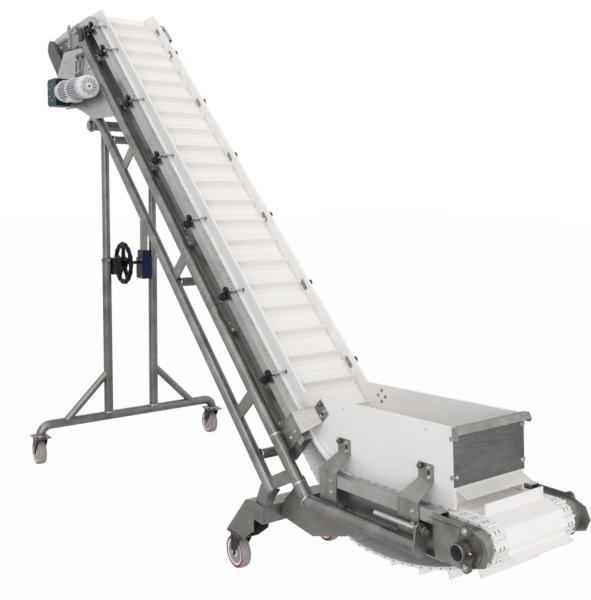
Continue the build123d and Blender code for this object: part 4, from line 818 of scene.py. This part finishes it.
# Upper mast: a round pivot tube in bored hanger plates, with two sliding tubes welded under it.
# Collars on the pivot tube keep it centred between the hangers.
mast_tube = steel("mast_tube", (0.27, 0.26, 0.245), (0.135, 0.13, 0.12), (0, 90, 0), 0.3, clouds=7.0)
dress(plate_satin, "mast_hangers")
dress(mast_tube, "mast_upper")
mast_low, mast_high = (Vector(c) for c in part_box("mast_upper"))
mast_x, pivot_z = (mast_low.x + mast_high.x) / 2, mast_high.z - 0.0285
pivot_along, post_side, rear_side = incline_length - 0.3532, 0.152, 0.58
collars = bmesh.new()
for sign in (-1, 1):
    turn(collars, at(Vector((mast_x, sign * 0.227, pivot_z)), far_side * sign),
         mirrored((0.029, -0.004), (0.0315, -0.003)), 32)
    turn(collars, at(Vector((mast_x, sign * post_side, pivot_z - 0.03)), -upright),
         ((0.027, 0.0), (0.0255, 0.003), (0.0235, 0.006)), 32)
piece("pivot_collars", collars, bright_steel, "mast_upper")
bolts("hanger_bolts", [(spot(incline, pivot_along + step, rise, sign * 0.24), far_side * sign, up)
    for sign in (-1, 1) for step in (-0.022, 0.022) for rise in (-0.222, -0.256)], 0.0065, 0.0055)

# Lower mast: base tube bent down to the casters at both ends, two posts and two braces, all welded.
# The posts are tubes that the upper mast slides in, with a clamp collar on top.
dress(mast_tube, "mast_posts", "base_tube", "mast_braces")
mast_welds, post_collars = bmesh.new(), bmesh.new()
for sign in (-1, 1):
    turn(mast_welds, at(Vector((mast_x, sign * post_side, 0.264)), upright),
         ((0.0292, -0.003), (0.03, 0.0), (0.0275, 0.0045)), 32)
    turn(mast_welds, at(Vector((mast_x, sign * rear_side, 0.1795)), upright),
         ((0.03, 0.0), (0.0295, 0.003), (0.0272, 0.005)), 32)
    turn(post_collars, at(Vector((mast_x, sign * post_side, 1.215)), upright),
         ((0.0262, -0.012), (0.0305, -0.012), (0.0305, 0.0095), (0.0262, 0.0095)), 32, ring=True)
piece("mast_welds", mast_welds, bright_steel, "mast_lower")
piece("post_collars", post_collars, housing_satin, "mast_lower")
bolts("collar_bolts", [(Vector((mast_x + 0.0305, sign * post_side, 1.214)), lengthwise, upright)
    for sign in (-1, 1)], 0.0055, 0.006, body="mast_lower")

# Lift: a black handwheel turns the cross shaft, and a blue gearbox on the far post drives the screw.
# The gearbox is cast iron in enamel; the wheel is moulded, with a waved rim for grip.
gearbox_enamel = paint("gearbox_enamel", (0.0015, 0.009, 0.06), (0.005, 0.02, 0.095), 0.5, gloss=0.22)
lift_dark = steel("lift_dark", (0.06, 0.055, 0.052), (0.018, 0.017, 0.017), (0, 90, 0), 0.42, clouds=30.0)
wheel_black = plastic("wheel_black", (0.003, 0.003, 0.0035), (0.018, 0.018, 0.018), 0.35, 30.0, gloss=0.14)
dress(gearbox_enamel, "lift_gearbox")
dress(lift_dark, "lift_block", "lift_shaft")
dress(plate_satin, "screw_guard")
lift_z = 1.19
gear_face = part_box("lift_gearbox")[0][1] + 0.0002
bolts("gear_bolts", [(Vector((mast_x + a, gear_face, lift_z + b)), near_side, upright)
    for a in (-0.034, 0.034) for b in (-0.088, 0.018)], 0.0048, 0.0042, body="mast_lower")
block_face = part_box("lift_block")[1][1] - 0.0002
bolts("block_bolts", [(Vector((mast_x + a, block_face, lift_z + b)), far_side, upright)
    for a in (-0.021, 0.021) for b in (-0.052, 0.022)], 0.005, 0.0045, body="mast_lower")
wheel_low, wheel_high = (Vector(c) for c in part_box("handwheel"))
wheel_centre = Vector((mast_x, (wheel_low.y + wheel_high.y) / 2, lift_z))
rim_radius, rim_half, rim_waves, rim_steps, rim_sides = 0.1155, 0.0136, 15, 90, 12
wheel, rings = bmesh.new(), []
section = [math.tau * n / rim_sides for n in range(rim_sides)]
for k in range(rim_steps):
    a = math.tau * k / rim_steps
    thick = rim_half * (0.9 + 0.1 * math.cos(rim_waves * a))
    rings.append([wheel.verts.new(
        on_circle(wheel_centre, rim_radius + 1.26 * thick * math.cos(b), math.degrees(a))
        + far_side * (thick * math.sin(b))) for b in section])
skin(wheel, rings, closed=True)
for k in range(5):
    radial = on_circle(Vector(), 1.0, 90 + 72 * k)
    turn(wheel, at(wheel_centre + radial * 0.016, radial, far_side) @ Matrix.Diagonal((0.6, 1, 1, 1)),
         ((0.023, 0.0), (0.019, 0.03), (0.0175, 0.07), (0.022, 0.092)), 14)
turn(wheel, at(wheel_centre, near_side),
     ((0.04, -0.013), (0.042, -0.011), (0.04, 0.006), (0.026, 0.013), (0.012, 0.0134)), 36)
hand_wheel = piece("hand_wheel", wheel, wheel_black, "mast_lower", smooth=40)
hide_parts("handwheel")

# Casters: dark steel forks that swivel under a top plate, with white wheels and grey rubber treads.
# A thin red ring runs round the wheel's face where the tread is moulded on.
fork_dark = steel("fork_dark", (0.055, 0.052, 0.05), (0.02, 0.019, 0.018), (0, 90, 0), 0.34, clouds=30.0)
wheel_white = plastic("wheel_white", (0.88, 0.87, 0.86), (0.68, 0.66, 0.64), 0.3, 18.0)
ring_red = plastic("ring_red", (0.34, 0.008, 0.02), (0.22, 0.01, 0.02), 0.4, 20.0)
tread_grey = plastic("tread_grey", (0.36, 0.35, 0.34), (0.22, 0.215, 0.21), 0.7, 22.0, 500.0, 0.7, 0.0003)
dress(housing_satin, "caster_plates_front", "caster_plates_rear")
wheel_radius, trail, eye_radius = 0.075, 0.03, 0.0155
core_profile = mirrored(
    (0.019, -0.0225), (0.02, -0.0215), (0.021, -0.02), (0.048, -0.0195), (0.054, -0.0218), (0.065, -0.0218))
tread_profile = mirrored(
    (0.064, -0.0205), (0.069, -0.0218), (0.0722, -0.019), (0.0742, -0.012), middle=((0.075, 0.0),))
ring_profile = ((0.059, 0.0205), (0.069, 0.0205), (0.068, 0.0226), (0.06, 0.0226))
race_profile = ((0.029, 0.1662), (0.031, 0.1672), (0.031, 0.169), (0.027, 0.1706), (0.015, 0.171))
# Each caster: tag, place of its swivel along and across
for tag, x, y in (("front_near", front_x, -front_side), ("front_far", front_x, front_side),
                  ("rear_near", mast_x, -rear_side), ("rear_far", mast_x, rear_side)):
    fork_body, wheel_body = "fork_" + tag, "wheel_" + tag
    axle = Vector((x - trail, y, wheel_radius))
    facing = at(axle, far_side, lengthwise)
    fork, core, red, tread, races = (bmesh.new() for _ in range(5))
    block(fork, Matrix.Translation((x - 0.01, y, 0.162)), (0.076, 0.065, 0.008), 0.0025)
    eye = [on_circle(axle, eye_radius, d) for d in range(30, -211, -20)]
    leg = [(x - 0.048, 0.164), (x + 0.028, 0.164), (x + 0.024, 0.148)]
    leg += [(p.x, p.z) for p in eye] + [(x - 0.046, 0.148)]
    rim = [(x - 0.04, 0.15), (x - 0.034, 0.15), (axle.x - 0.0065, axle.z + 0.004),
           (axle.x - 0.0115, axle.z + 0.004)]
    for step in (-1, 1):
        slab(fork, leg, y + step * 0.0277, y + step * 0.0322)
        slab(fork, rim, y + step * 0.0318, y + step * 0.0325)
        turn(fork, at(axle + far_side * (step * 0.024), far_side * step), ((0.011, -0.002), (0.011, 0.004)))
        turn(red, at(axle, far_side * step, lengthwise), ring_profile, 56, ring=True)
    turn(core, facing, core_profile, 56)
    turn(tread, facing, tread_profile, 72)
    turn(races, at(Vector((x, y, 0)), upright), race_profile, 36)
    fork_piece = piece("fork_" + tag + "_shell", fork, fork_dark, fork_body)
    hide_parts("fork_" + tag)
    core_piece = piece("wheel_core_" + tag, core, wheel_white, wheel_body)
    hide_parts("hub_" + tag)
    piece("wheel_ring_" + tag, red, ring_red, wheel_body)
    tread_piece = piece("tread_" + tag, tread, tread_grey, wheel_body, smooth=50)
    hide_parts("tyre_" + tag)
    piece("swivel_race_" + tag, races, bright_steel, fork_body)
    bolts("axle_nuts_" + tag, [(axle + far_side * (step * 0.033), far_side * step, lengthwise)
        for step in (-1, 1)], 0.0105, 0.007, 1.3, body=fork_body)
